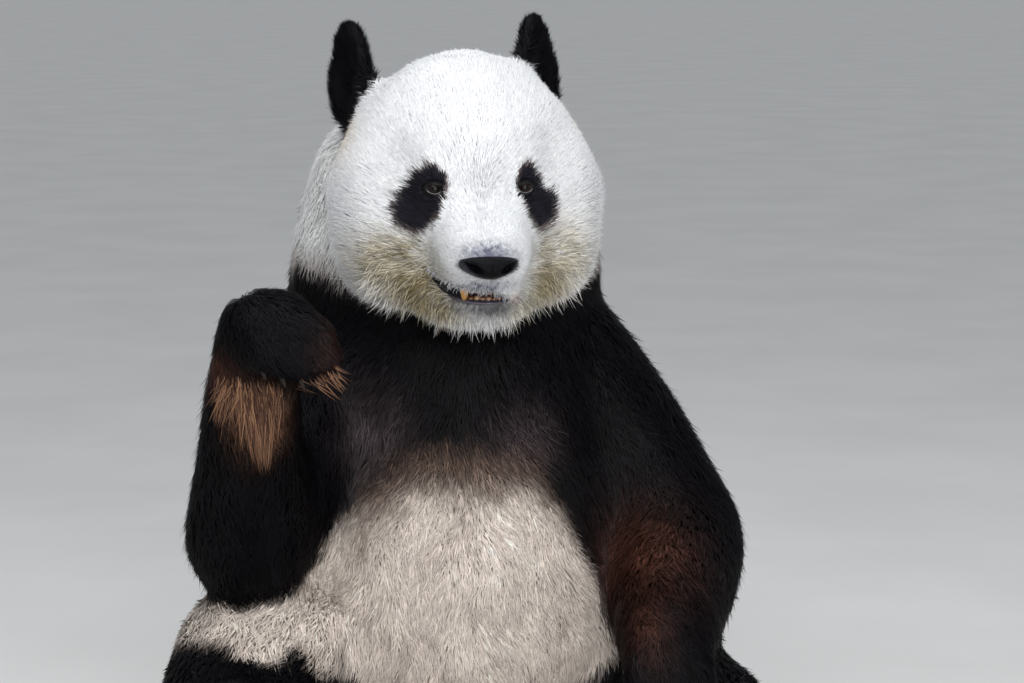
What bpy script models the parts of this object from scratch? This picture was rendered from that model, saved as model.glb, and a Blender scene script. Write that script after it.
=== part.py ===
"""Giant panda sitting upright on its rump with its hind legs spread in front of it.

Metres, +Z up. The animal faces -Y, so its left side is +X, and the origin is on the ground under its
rump. Its right forepaw is raised beside the mouth, the left one lies over the left knee. Every solid
gives the true outline out to the tips of the coat. A section of the body is blocked out from balls
joined by convex hulls, fused into one smooth form, and parted from its neighbours with thin cuts.
"""

import math

import bmesh
import bpy
from mathutils import Matrix, Vector

# Driving dimensions, in metres. A ball is (centre, radii along X, Y and Z).
GAP = 0.0004  # air left between two pieces that touch
SLOT = 0.0008  # width of the thin cuts that part a limb
SLIVER = 0.00002  # edges shorter than this are closed up after a cut
LIMB_GRAIN = 0.008  # grid on which trunk and limbs are fused
HEAD_GRAIN = 0.006  # finer grid for head, paws and feet
HEAD_TRIANGLES = 780  # facets a form is thinned to before it is cut
TRUNK_TRIANGLES = 720
LIMB_TRIANGLES = 420
SIDES = {"right": -1, "left": 1}

RUMP = ((0, 0.030, 0.150), (0.228, 0.185, 0.172))
BACK = ((0, 0.055, 0.350), (0.205, 0.150, 0.200))
BELLY = ((0, -0.105, 0.262), (0.240, 0.222, 0.188))
LAP = ((0, -0.120, 0.190), (0.262, 0.205, 0.150))
WAIST = ((0, -0.065, 0.400), (0.222, 0.200, 0.150))
CHEST = ((0, -0.080, 0.510), (0.205, 0.168, 0.150))
WITHERS = ((0, 0.015, 0.585), (0.178, 0.140, 0.140))
SCRUFF = ((0, -0.105, 0.786), (0.183, 0.105, 0.086))
NAPE = ((0, -0.080, 0.730), (0.196, 0.130, 0.130))
COLLAR = ((0, -0.058, 0.622), (0.218, 0.152, 0.100))
CHEST_LINE = (0, -0.300, 0.405)  # a point where the black chest meets the pale belly
CHEST_LINE_BACK = (0, 0.200, 0.530)  # the same line over the back, behind the shoulders
NECK_LINE = (0, -0.250, 0.560)  # throat, where the black band begins
NECK_LINE_BACK = (0, 0.150, 0.690)  # nape, where the black band begins

CRANIUM = ((0, -0.232, 0.790), (0.148, 0.135, 0.146))
BROW = ((0, -0.288, 0.800), (0.106, 0.106, 0.092))
TEMPLE = ((0.094, -0.240, 0.762), (0.078, 0.100, 0.078))
CHEEK = ((0.094, -0.252, 0.688), (0.071, 0.098, 0.074))
JOWL = ((0.062, -0.306, 0.694), (0.062, 0.060, 0.070))
MUZZLE_ROOT = ((0, -0.345, 0.722), (0.072, 0.052, 0.062))
MUZZLE_TIP = ((0, -0.412, 0.692), (0.057, 0.052, 0.046))
JAW_TIP = ((0, -0.398, 0.648), (0.048, 0.047, 0.036))
THROAT = ((0, -0.305, 0.652), (0.092, 0.080, 0.062))

CANINE = (-0.026, -0.4340, 0.6690)  # root of the one upper eye tooth that the lips leave bare
CANINE_LENGTH = 0.016
CANINE_RADIUS = 0.0042
INCISOR = (0.0052, -0.4300, 0.6435)  # root of a lower front tooth, one of six
INCISOR_LENGTH = 0.0095
INCISOR_RADIUS = 0.0027
INCISORS_PER_SIDE = 3
MOUTH_HEIGHT = 0.657  # height of the open lips at the front
MOUTH_RADII = (0.040, 0.062, 0.0085)
MOUTH_CENTRE = (-0.010, -0.440, MOUTH_HEIGHT)
JAW_HINGE_Y = -0.330
JAW_HALF_WIDTH = 0.056

EYE_RADIUS = 0.011
EYE_CENTRE = (0.0535, -0.3635, 0.7695)
LID_OPENING = (0.0125, 0.0110, 0.0090)  # half width, depth and height of the gap between the lids
EAR_CENTRES = {"right": (-0.1315, -0.182, 0.884), "left": (0.0995, -0.184, 0.893)}
EAR_BASE = ((0, 0, -0.006), (0.0460, 0.022, 0.057))
EAR_TIP = ((0, 0, 0.054), (0.0270, 0.0165, 0.029))
EAR_HOLLOW_RADII = (0.029, 0.018, 0.054)
EAR_TURNS = {"right": 57, "left": 49}  # degrees that the opening looks outward
EAR_LEANS = {"right": -3, "left": 11}  # degrees that the tip leans inward

NOSE_CENTRE = (0, -0.461, 0.6865)
NOSE_WIDTH = 0.070
NOSE_HEIGHT = 0.0285

TAIL_ROOT = ((0, 0.175, 0.125), (0.046, 0.035, 0.050))
TAIL_TIP = ((0, 0.238, 0.050), (0.040, 0.026, 0.036))

# A limb is a chain of (point, radius) from the trunk to the wrist or ankle. The fourth is the elbow
# or the knee.
LIMB_NAMES = {"arm": ("upper_arm", "forearm", "forepaw"), "leg": ("thigh", "shin", "hind_foot")}
ARMS = {
    "right": (
        ((-0.118, 0.020, 0.560), 0.092),
        ((-0.140, -0.060, 0.520), 0.108),
        ((-0.215, -0.165, 0.425), 0.100),
        ((-0.272, -0.262, 0.335), 0.086),
        ((-0.272, -0.318, 0.450), 0.070),
        ((-0.268, -0.352, 0.565), 0.060),
    ),
    "left": (
        ((0.118, 0.020, 0.560), 0.092),
        ((0.142, -0.055, 0.510), 0.114),
        ((0.222, -0.085, 0.410), 0.102),
        ((0.284, -0.135, 0.285), 0.104),
        ((0.262, -0.240, 0.245), 0.088),
        ((0.236, -0.335, 0.222), 0.068),
    ),
}
LEGS = {
    "right": (
        ((-0.105, 0.045, 0.170), 0.158),
        ((-0.130, -0.045, 0.150), 0.154),
        ((-0.252, -0.230, 0.170), 0.120),
        ((-0.306, -0.335, 0.116), 0.096),
        ((-0.272, -0.430, 0.078), 0.076),
        ((-0.252, -0.520, 0.060), 0.066),
    ),
    "left": (
        ((0.105, 0.045, 0.165), 0.158),
        ((0.135, -0.045, 0.135), 0.145),
        ((0.240, -0.215, 0.108), 0.104),
        ((0.298, -0.315, 0.090), 0.088),
        ((0.282, -0.425, 0.074), 0.074),
        ((0.258, -0.515, 0.060), 0.066),
    ),
}

# The long tuft that hangs from the underside of the raised wrist.
WRIST_TUFT = (
    ((-0.262, -0.385, 0.540), (0.048, 0.032, 0.030)),
    ((-0.262, -0.400, 0.472), (0.030, 0.014, 0.016)),
)

# A paw has the middle of its palm or sole, the middle of its knuckles, the direction across the toes,
# the direction the toes point and the direction the sole faces.
FOREPAWS = {
    "right": {
        "palm": (-0.254, -0.398, 0.616),
        "knuckles": (-0.234, -0.436, 0.604),
        "across": (0.95, -0.20, -0.05),
        "out": (0.30, -0.15, -0.94),
        "sole": (-0.10, 0.95, -0.20),
        "width": 0.124,
        "thickness": 0.088,
        "toe_length": 0.036,
    },
    "left": {
        "palm": (0.228, -0.385, 0.206),
        "knuckles": (0.222, -0.420, 0.184),
        "across": (1.00, 0.10, 0.00),
        "out": (-0.02, -0.45, -0.89),
        "sole": (0.00, 0.89, -0.45),
        "width": 0.124,
        "thickness": 0.088,
        "toe_length": 0.036,
    },
}
HIND_FEET = {
    "right": {
        "palm": (-0.260, -0.558, 0.108),
        "knuckles": (-0.268, -0.572, 0.150),
        "across": (1.00, 0.00, 0.10),
        "out": (-0.10, -0.15, 1.00),
        "sole": (0.00, -1.00, 0.00),
        "width": 0.112,
        "thickness": 0.076,
        "toe_length": 0.020,
    },
    "left": {
        "palm": (0.262, -0.555, 0.106),
        "knuckles": (0.266, -0.570, 0.148),
        "across": (1.00, 0.00, -0.10),
        "out": (0.08, -0.15, 1.00),
        "sole": (0.00, -1.00, 0.00),
        "width": 0.112,
        "thickness": 0.076,
        "toe_length": 0.020,
    },
}
TOE_RADIUS = 0.0200
TOE_COUNT = 5
TOE_SETBACK = 0.010  # how far the outer toes stand back from the middle one
CLAW_LENGTHS = {  # the raised paw draws its claws in
    "right_forepaw": 0.017,
    "left_forepaw": 0.028,
    "right_hind_foot": 0.030,
    "left_hind_foot": 0.030,
}
CLAW_HOOK = 0.42  # how far the tip bends to the sole, as a share of the length
CLAW_RADIUS = 0.0058
CLAW_SIDES = 5
CLAW_RINGS = 2

FINISHES = {  # colour, roughness, metallic
    "coat_white": ((0.86, 0.84, 0.79), 0.85, 0.0),
    "coat_black": ((0.022, 0.020, 0.024), 0.80, 0.0),
    "coat_belly": ((0.62, 0.53, 0.45), 0.85, 0.0),
    "nose_leather": ((0.018, 0.017, 0.018), 0.38, 0.0),
    "eye": ((0.030, 0.016, 0.010), 0.08, 0.0),
    "claw_horn": ((0.17, 0.14, 0.11), 0.42, 0.0),
}


def finish(name):
    """The Principled material of that name, made once."""
    if name in bpy.data.materials:
        return bpy.data.materials[name]
    colour, roughness, metallic = FINISHES[name]
    material = bpy.data.materials.new(name)
    material.use_nodes = True
    shader = material.node_tree.nodes["Principled BSDF"]
    shader.inputs["Base Color"].default_value = (*colour, 1)
    shader.inputs["Roughness"].default_value = roughness
    shader.inputs["Metallic"].default_value = metallic
    return material


def mirrored(ball, side):
    """A ball moved to that side of the body."""
    (x, y, z), radii = ball
    return (x * side, y, z), radii


def add_ball(mesh, centre, radii):
    """An icosphere stretched to the radii, added to the bmesh. Returns its vertices."""
    place = Matrix.Translation(centre) @ Matrix.Diagonal((*radii, 1))
    made = bmesh.ops.create_icosphere(mesh, subdivisions=2, radius=1, matrix=place)
    return made["verts"]


def add_hull(mesh, balls):
    """The convex hull of several balls, added to the bmesh as one closed lump."""
    lump = bmesh.new()
    for centre, radii in balls:
        add_ball(lump, centre, radii)
    hull = bmesh.ops.convex_hull(lump, input=lump.verts)
    inner = [item for item in hull["geom_interior"] if isinstance(item, bmesh.types.BMVert)]
    bmesh.ops.delete(lump, geom=inner, context="VERTS")
    bmesh.ops.recalc_face_normals(lump, faces=lump.faces)
    held = bpy.data.meshes.new("lump")
    lump.to_mesh(held)
    lump.free()
    mesh.from_mesh(held)
    bpy.data.meshes.remove(held)


def new_piece(name, mesh, material=None):
    """An object that holds the bmesh."""
    data = bpy.data.meshes.new(name)
    mesh.to_mesh(data)
    mesh.free()
    piece = bpy.data.objects.new(name, data)
    bpy.context.collection.objects.link(piece)
    if material:
        data.materials.append(finish(material))
    return piece


def bake(piece):
    """Turns the piece's modifiers into its mesh."""
    graph = bpy.context.evaluated_depsgraph_get()
    old = piece.data
    materials = list(old.materials)
    piece.data = bpy.data.meshes.new_from_object(piece.evaluated_get(graph))
    piece.modifiers.clear()
    piece.data.materials.clear()
    for material in materials:
        piece.data.materials.append(material)
    piece.data.name = old.name
    bpy.data.meshes.remove(old)


def fuse(name, hulls, material, triangles, grain=LIMB_GRAIN, rounds=10):
    """One closed smooth form round overlapping hulls, thinned to about that many triangles."""
    mesh = bmesh.new()
    for balls in hulls:
        add_hull(mesh, balls)
    piece = new_piece(name, mesh, material)
    remesh = piece.modifiers.new("fuse", "REMESH")
    remesh.mode = "VOXEL"
    remesh.voxel_size = grain
    smooth = piece.modifiers.new("smooth", "SMOOTH")
    smooth.factor = 0.5
    smooth.iterations = rounds
    bake(piece)
    thin = piece.modifiers.new("thin", "DECIMATE")
    thin.ratio = triangles / (2 * len(piece.data.polygons))
    thin.use_collapse_triangulate = True
    bake(piece)
    return piece


def swollen(piece, by=GAP):
    """A hidden copy of the piece, pushed out along its normals, to cut a neighbour with."""
    tool = piece.copy()
    tool.data = piece.data.copy()
    tool.name = piece.name + "_tool"
    bpy.context.collection.objects.link(tool)
    push = tool.modifiers.new("push", "DISPLACE")
    push.strength = by
    push.mid_level = 0
    bake(tool)
    tool.hide_render = True
    tool.display_type = "WIRE"
    return tool


def drop(tool):
    """Removes a cutter once it has been used."""
    data = tool.data
    bpy.data.objects.remove(tool)
    bpy.data.meshes.remove(data)


def keep_largest(piece):
    """Deletes the crumbs and slivers that a cut leaves, keeping the biggest connected body."""
    mesh = bmesh.new()
    mesh.from_mesh(piece.data)
    bmesh.ops.remove_doubles(mesh, verts=mesh.verts, dist=SLIVER)
    bmesh.ops.dissolve_degenerate(mesh, dist=SLIVER, edges=mesh.edges)
    bmesh.ops.triangulate(mesh, faces=mesh.faces)
    unseen = set(mesh.verts)
    bodies = []
    while unseen:
        body = [unseen.pop()]
        for vertex in body:
            for edge in vertex.link_edges:
                other = edge.other_vert(vertex)
                if other in unseen:
                    unseen.remove(other)
                    body.append(other)
        bodies.append(body)
    bodies.sort(key=len)
    for body in bodies[:-1]:
        bmesh.ops.delete(mesh, geom=body, context="VERTS")
    mesh.to_mesh(piece.data)
    mesh.free()


def cut(piece, tool, operation="DIFFERENCE"):
    """One Boolean, applied at once."""
    step = piece.modifiers.new("cut", "BOOLEAN")
    step.operation = operation
    step.object = tool
    bake(piece)
    keep_largest(piece)


def make_room(piece, *neighbours):
    """Cuts the piece back to a gap's width from each neighbour."""
    for neighbour in neighbours:
        tool = swollen(neighbour)
        cut(piece, tool)
        drop(tool)


def half_space(point, normal, size=3.0):
    """A big block whose one face passes through the point, filling the side the normal leaves."""
    mesh = bmesh.new()
    bmesh.ops.create_cube(mesh, size=size)
    turn = Vector((0, 0, 1)).rotation_difference(Vector(normal)).to_matrix().to_4x4()
    place = Matrix.Translation(Vector(point)) @ turn @ Matrix.Translation((0, 0, -size / 2))
    bmesh.ops.transform(mesh, matrix=place, verts=mesh.verts)
    block = new_piece("half_space", mesh)
    block.hide_render = True
    block.display_type = "WIRE"
    return block


def clip(piece, point, normal):
    """Keeps what lies on the side that the normal points to."""
    block = half_space(point, normal)
    cut(piece, block)
    drop(block)


def part_at(piece, name, point, normal, material, slot=SLOT):
    """Parts the piece with a thin cut. What lies ahead of the normal becomes a new object."""
    ahead = piece.copy()
    ahead.data = piece.data.copy()
    ahead.name = name
    ahead.data.name = name
    ahead.data.materials.clear()
    ahead.data.materials.append(finish(material))
    bpy.context.collection.objects.link(ahead)
    step = Vector(normal).normalized() * slot / 2
    clip(ahead, Vector(point) + step, normal)
    clip(piece, Vector(point) - step, -Vector(normal))
    return ahead


def limb_hulls(chain):
    """Hulls between each two neighbouring balls of a limb."""
    balls = [(point, (radius,) * 3) for point, radius in chain]
    return [balls[i : i + 2] for i in range(len(balls) - 1)]


def toe_root(paw, index):
    """Where one toe leaves the paw, and how far it is off the middle, from -1 to 1."""
    off = 2 * index / (TOE_COUNT - 1) - 1
    across = Vector(paw["across"]).normalized() * off * (paw["width"] / 2 - TOE_RADIUS)
    setback = Vector(paw["out"]).normalized() * TOE_SETBACK * off * off
    return Vector(paw["knuckles"]) + across - setback, off


def paw_hulls(wrist, paw):
    """Palm and five toes, the outer toes set back a little."""
    across = Vector(paw["across"]).normalized()
    reach = Vector(paw["out"]).normalized() * paw["toe_length"]
    palm_radius = paw["thickness"] * 0.55
    spread = paw["width"] / 2 - palm_radius
    palm = [Vector(paw["palm"]) + across * off * spread for off in (-1, 1)]
    hulls = [[(wrist[0], (wrist[1],) * 3)] + [(point, (palm_radius,) * 3) for point in palm]]
    for index in range(TOE_COUNT):
        root, off = toe_root(paw, index)
        inner = Vector(paw["palm"]) + across * off * spread
        hulls.append([(inner, (palm_radius * 0.85,) * 3), (root, (TOE_RADIUS * 1.1,) * 3)])
        hulls.append([(root, (TOE_RADIUS * 1.08,) * 3), (root + reach, (TOE_RADIUS,) * 3)])
    return hulls


def make_claws(paw_name, paw, neighbours):
    """Five claws. Each is an oval ring that shrinks to a point along a bend towards the sole."""
    out = Vector(paw["out"]).normalized()
    sole = Vector(paw["sole"]).normalized()
    side = out.cross(sole).normalized()
    turns = [2 * math.pi * i / CLAW_SIDES for i in range(CLAW_SIDES)]
    length = CLAW_LENGTHS[paw_name]
    claws = []
    for index in range(TOE_COUNT):
        start = toe_root(paw, index)[0] + out * (paw["toe_length"] + 0.45 * TOE_RADIUS)
        mesh = bmesh.new()
        rings = []
        for ring in range(CLAW_RINGS):
            along = ring / CLAW_RINGS
            centre = start + (out * along + sole * CLAW_HOOK * along**2) * length
            rise = side.cross(out + sole * 2 * CLAW_HOOK * along).normalized()
            radius = CLAW_RADIUS * (1 - along) ** 0.7
            spots = [side * 0.8 * math.cos(turn) + rise * math.sin(turn) for turn in turns]
            rings.append([mesh.verts.new(centre + spot * radius) for spot in spots])
        tip = mesh.verts.new(start + (out + sole * CLAW_HOOK) * length)
        for near, far in zip(rings, rings[1:]):
            for i in range(CLAW_SIDES):
                j = (i + 1) % CLAW_SIDES
                mesh.faces.new((near[i], near[j], far[j], far[i]))
        for i in range(CLAW_SIDES):
            mesh.faces.new((rings[-1][i], rings[-1][(i + 1) % CLAW_SIDES], tip))
        mesh.faces.new(rings[0])
        bmesh.ops.triangulate(mesh, faces=mesh.faces)
        bmesh.ops.recalc_face_normals(mesh, faces=mesh.faces)
        claw = new_piece(f"{paw_name}_claw_{index + 1}", mesh, "claw_horn")
        make_room(claw, *neighbours)
        claws.append(claw)
    return claws


def plane_through(low, high):
    """A point and an upward normal of the plane through two points and the X axis direction."""
    run = Vector(high) - Vector(low)
    return Vector(low), Vector((0, -run.z, run.y)).normalized()


def add_tooth(piece, root, length, radius):
    """Grows a tooth, a six-sided cone, out of the head or jaw. A negative length points down."""
    mesh = bmesh.new()
    place = Matrix.Translation(Vector(root) + Vector((0, 0, length / 2)))
    sizes = (radius, radius * 0.3) if length > 0 else (radius * 0.3, radius)
    bmesh.ops.create_cone(
        mesh,
        cap_ends=True,
        segments=6,
        radius1=sizes[0],
        radius2=sizes[1],
        depth=abs(length),
        matrix=place,
    )
    tooth = new_piece("tooth_tool", mesh)
    cut(piece, tooth, "UNION")
    drop(tooth)


def make_head():
    """Skull, cheeks, muzzle and chin as one form, then the lower jaw parted off below the lips."""
    face = [mirrored(ball, side) for ball in (TEMPLE, CHEEK) for side in SIDES.values()]
    hulls = [[CRANIUM, *face], [BROW, CRANIUM], [MUZZLE_ROOT, BROW], [MUZZLE_ROOT, MUZZLE_TIP]]
    hulls += [[THROAT, JAW_TIP], [JOWL, mirrored(JOWL, -1), MUZZLE_ROOT]]
    hulls += [[mirrored(JOWL, side), mirrored(CHEEK, side)] for side in SIDES.values()]
    head = fuse("head", hulls, "coat_white", HEAD_TRIANGLES, HEAD_GRAIN, rounds=14)
    mouth_mesh = bmesh.new()
    add_ball(mouth_mesh, MOUTH_CENTRE, MOUTH_RADII)
    mouth = new_piece("mouth_tool", mouth_mesh)
    cut(head, mouth)
    drop(mouth)
    jaw = head.copy()
    jaw.data = head.data.copy()
    jaw.name = "lower_jaw"
    jaw.data.name = "lower_jaw"
    bpy.context.collection.objects.link(jaw)
    middle = (MOUTH_HEIGHT, JAW_HINGE_Y)
    for grow, piece, operation in ((0, jaw, "INTERSECT"), (SLOT, head, "DIFFERENCE")):
        block = bmesh.new()
        bmesh.ops.create_cube(block, size=1)
        size = Vector((2 * (JAW_HALF_WIDTH + grow), 0.2 + grow, 0.12 + grow))
        centre = Vector((0, middle[1] - size.y / 2 + grow, middle[0] - size.z / 2 + grow))
        place = Matrix.Translation(centre) @ Matrix.Diagonal((*size, 1))
        bmesh.ops.transform(block, matrix=place, verts=block.verts)
        tool = new_piece("jaw_tool", block)
        cut(piece, tool, operation)
        drop(tool)
    add_tooth(head, CANINE, -CANINE_LENGTH, CANINE_RADIUS)
    for side in SIDES.values():
        for place in range(INCISORS_PER_SIDE):
            across = INCISOR[0] * (place + 0.5) * side
            setback = 0.0008 * place**2
            root = (across, INCISOR[1] + setback, INCISOR[2])
            add_tooth(jaw, root, INCISOR_LENGTH, INCISOR_RADIUS)
    return head, jaw


def make_ear(side_name, side, head):
    """A cupped ear: flat, broad below and round at the tip, with an egg scooped out of the face
    that looks outward."""
    ear = fuse(f"{side_name}_ear", [[EAR_BASE, EAR_TIP]], "coat_black", 180, 0.0035, rounds=3)
    scoop_mesh = bmesh.new()
    add_ball(scoop_mesh, (0, -0.019, 0.006), EAR_HOLLOW_RADII)
    scoop = new_piece("ear_tool", scoop_mesh)
    cut(ear, scoop)
    drop(scoop)
    place = (
        Matrix.Translation(EAR_CENTRES[side_name])
        @ Matrix.Rotation(math.radians(EAR_TURNS[side_name]) * side, 4, "Z")
        @ Matrix.Rotation(-math.radians(EAR_LEANS[side_name]) * side, 4, "Y")
    )
    ear.data.transform(place)
    make_room(ear, head)
    return ear


def make_eye(name, side, head):
    """A ball set in the head, with only its front showing between the lids."""
    centre = (EYE_CENTRE[0] * side, EYE_CENTRE[1], EYE_CENTRE[2])
    gap_mesh = bmesh.new()
    add_ball(gap_mesh, (centre[0], centre[1] - EYE_RADIUS, centre[2]), LID_OPENING)
    gap = new_piece("lid_tool", gap_mesh)
    cut(head, gap)
    drop(gap)
    mesh = bmesh.new()
    add_ball(mesh, centre, (EYE_RADIUS,) * 3)
    return new_piece(name, mesh, "eye")


def make_nose():
    """The bare nose pad: broad and flat on top, drawn in to a rounded point below."""
    x, y, z = NOSE_CENTRE
    wing = (NOSE_WIDTH / 2 - 0.013, y + 0.004, z + 0.004)
    wing_radii = (0.013, 0.014, NOSE_HEIGHT * 0.36)
    balls = [
        (wing, wing_radii),
        ((-wing[0], wing[1], wing[2]), wing_radii),
        ((x, y - 0.003, z + 0.003), (0.020, 0.016, NOSE_HEIGHT * 0.42)),
        ((x, y, z - 0.006), (0.011, 0.014, NOSE_HEIGHT * 0.33)),
    ]
    return fuse("nose_pad", [balls], "nose_leather", 220, 0.0025, rounds=3)


def make_trunk():
    """Rump to nape as one form, parted at the edges of the black shoulder band."""
    hulls = [[RUMP, BACK], [BACK, WAIST], [WAIST, CHEST], [CHEST, WITHERS], [NAPE, COLLAR]]
    hulls += [[RUMP, BELLY], [RUMP, LAP], [BELLY, WAIST], [COLLAR, WITHERS], [SCRUFF, NAPE]]
    belly = fuse("abdomen", hulls, "coat_belly", TRUNK_TRIANGLES, rounds=16)
    clip(belly, (0, 0, 0), (0, 0, 1))
    chest = part_at(belly, "chest", *plane_through(CHEST_LINE, CHEST_LINE_BACK), "coat_black")
    neck = part_at(chest, "neck", *plane_through(NECK_LINE, NECK_LINE_BACK), "coat_white")
    return belly, chest, neck


def make_tail(rump):
    """The short broad tail, laid back clear of the ground."""
    tail = fuse("tail", [[TAIL_ROOT, TAIL_TIP]], "coat_white", 160)
    make_room(tail, rump)
    return tail


def make_limb(side_name, kind, chain, upper_material, paw, neighbours, tuft=()):
    """An arm or leg from trunk to toes, then parted at elbow or knee and at wrist or ankle."""
    upper_name, lower_name, paw_name = (f"{side_name}_{name}" for name in LIMB_NAMES[kind])
    hulls = limb_hulls(chain) + paw_hulls(chain[-1], paw) + [list(tuft)] * bool(tuft)
    upper = fuse(upper_name, hulls, upper_material, LIMB_TRIANGLES, HEAD_GRAIN, rounds=8)
    make_room(upper, *neighbours)
    clip(upper, (0, 0, 0), (0, 0, 1))
    before, joint, after = (Vector(point) for point, radius in chain[2:5])
    bend = ((joint - before).normalized() + (after - joint).normalized()).normalized()
    wrist = Vector(chain[-1][0])
    lower = part_at(upper, lower_name, joint, bend, "coat_black")
    foot = part_at(lower, paw_name, wrist, Vector(paw["palm"]) - wrist, "coat_black")
    claws = make_claws(paw_name, paw, [foot, *neighbours])
    return [upper, lower, foot, *claws]


for old in list(bpy.data.objects):
    bpy.data.objects.remove(old)

head, jaw = make_head()
abdomen, chest, neck = make_trunk()
for section in (chest, neck):
    make_room(section, head, jaw)
trunk = [abdomen, chest, neck]
make_tail(abdomen)
for side_name, side in SIDES.items():
    make_room(neck, make_ear(side_name, side, head))
    eye = make_eye(f"{side_name}_eye", side, head)
    make_room(head, eye)
nose = make_nose()
make_room(head, nose)

arms = []
for side_name in SIDES:
    blockers = [*trunk, head, jaw]
    tuft = WRIST_TUFT if side_name == "right" else ()
    chain, paw = ARMS[side_name], FOREPAWS[side_name]
    arms += make_limb(side_name, "arm", chain, "coat_black", paw, blockers, tuft)
for side_name in SIDES:
    blockers = [*trunk, *arms]
    chain, paw = LEGS[side_name], HIND_FEET[side_name]
    make_limb(side_name, "leg", chain, "coat_belly", paw, blockers)
for piece in bpy.context.scene.objects:
    piece.data.shade_smooth()
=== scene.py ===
"""Giant panda sitting upright: one hide under its coat, with eyes, nose, mouth, pads and claws."""

import math

import bmesh
import bpy
import numpy as np
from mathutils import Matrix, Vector
from mathutils.bvhtree import BVHTree
from mathutils.kdtree import KDTree


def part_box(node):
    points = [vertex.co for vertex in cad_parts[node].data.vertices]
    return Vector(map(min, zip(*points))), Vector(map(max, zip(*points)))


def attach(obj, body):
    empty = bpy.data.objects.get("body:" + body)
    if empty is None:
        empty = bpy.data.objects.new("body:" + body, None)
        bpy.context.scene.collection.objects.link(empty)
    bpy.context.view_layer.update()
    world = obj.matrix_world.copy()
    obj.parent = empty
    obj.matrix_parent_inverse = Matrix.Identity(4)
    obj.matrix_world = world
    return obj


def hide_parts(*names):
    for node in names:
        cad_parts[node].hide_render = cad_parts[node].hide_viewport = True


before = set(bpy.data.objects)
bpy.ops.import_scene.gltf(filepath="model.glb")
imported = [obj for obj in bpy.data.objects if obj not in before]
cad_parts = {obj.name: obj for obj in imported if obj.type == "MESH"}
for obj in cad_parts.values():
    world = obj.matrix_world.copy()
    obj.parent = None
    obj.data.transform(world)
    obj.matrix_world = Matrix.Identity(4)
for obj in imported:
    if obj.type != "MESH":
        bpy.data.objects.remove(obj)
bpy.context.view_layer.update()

# ---- The studio -----------------------------------------------------------------------------------
# A plain pale floor, a broad lamp overhead, another far out in front, and pale air all round. The
# camera looks at the chest from a little above it and a little to the animal's right.
AIM = np.array((0.062, -0.220, 0.565))  # the point the camera looks at
CAMERA_TURN = math.radians(-9)  # from straight in front, towards the animal's right
CAMERA_RISE = math.radians(8)
CAMERA_DISTANCE = 3.55
LENS, SENSOR = 100, 36  # millimetres
FLOOR_REACH = 60.0
FLOOR_TONE, FLOOR_DARK, FLOOR_LIGHT = (0.72, 0.72, 0.71), (0.70, 0.70, 0.69), (0.74, 0.74, 0.73)
FLOOR_CLOUDS = 2.5  # faint patches to a metre
LAMPS = {  # place, side of the square in metres, watts
    "overhead": ((-0.35, -1.10, 2.90), 2.4, 45),
    "front": ((0.30, -4.60, 1.70), 2.8, 104),
}
LAMP_AIM = Vector((0, -0.2, 0.5))
AIR_TONE, AIR_STRENGTH = (0.93, 0.96, 1.0), 0.50


def mesh_from(name, points, faces):
    """A smooth-shaded mesh from arrays of points and of faces that all have the same corner count."""
    mesh = bpy.data.meshes.new(name)
    corners = faces.shape[1]
    mesh.vertices.add(len(points))
    mesh.vertices.foreach_set("co", np.asarray(points, np.float32).ravel())
    mesh.loops.add(faces.size)
    mesh.loops.foreach_set("vertex_index", faces.astype(np.int32).ravel())
    mesh.polygons.add(len(faces))
    mesh.polygons.foreach_set("loop_start", np.arange(0, faces.size, corners, dtype=np.int32))
    mesh.update(calc_edges=True)
    mesh.shade_smooth()
    return mesh


def piece_from(mesh, material=None):
    """An object at the origin that holds the mesh, in that material."""
    piece = bpy.data.objects.new(mesh.name, mesh)
    bpy.context.scene.collection.objects.link(piece)
    if material:
        mesh.materials.append(material)
    return piece


def finish_of(name, colour, roughness, specular):
    """A new material with its node tree, its shader and the Object coordinates."""
    material = bpy.data.materials.new(name)
    material.use_nodes = True
    tree = material.node_tree
    shader = tree.nodes["Principled BSDF"]
    shader.inputs["Base Color"].default_value = (*colour, 1)
    shader.inputs["Roughness"].default_value = roughness
    shader.inputs["Specular IOR Level"].default_value = specular
    place = tree.nodes.new("ShaderNodeTexCoord")
    return material, tree, shader, place.outputs["Object"]


def grain(tree, place, scale, detail=3):
    """Noise on Object coordinates, so many grains to a metre; its value."""
    texture = tree.nodes.new("ShaderNodeTexNoise")
    texture.inputs["Scale"].default_value = scale
    texture.inputs["Detail"].default_value = detail
    tree.links.new(place, texture.inputs["Vector"])
    return texture.outputs[0]


def blend_colours(tree, factor, low, high, start=0.35, end=0.65):
    """Runs a value through a ramp from one colour to another; the ramp's colour."""
    ramp = tree.nodes.new("ShaderNodeValToRGB")
    ramp.color_ramp.elements[0].position = start
    ramp.color_ramp.elements[0].color = (*low, 1)
    ramp.color_ramp.elements[1].position = end
    ramp.color_ramp.elements[1].color = (*high, 1)
    tree.links.new(factor, ramp.inputs["Fac"])
    return ramp.outputs["Color"]


to_camera = np.array((
    math.sin(CAMERA_TURN) * math.cos(CAMERA_RISE),
    -math.cos(CAMERA_TURN) * math.cos(CAMERA_RISE),
    math.sin(CAMERA_RISE),
))
camera_data = bpy.data.cameras.new("camera")
camera_data.lens = LENS
camera_data.sensor_width = SENSOR
camera = bpy.data.objects.new("camera", camera_data)
camera.location = AIM + to_camera * CAMERA_DISTANCE
camera.rotation_euler = Vector(to_camera).to_track_quat("Z", "Y").to_euler()
bpy.context.scene.collection.objects.link(camera)
bpy.context.scene.camera = camera

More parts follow.
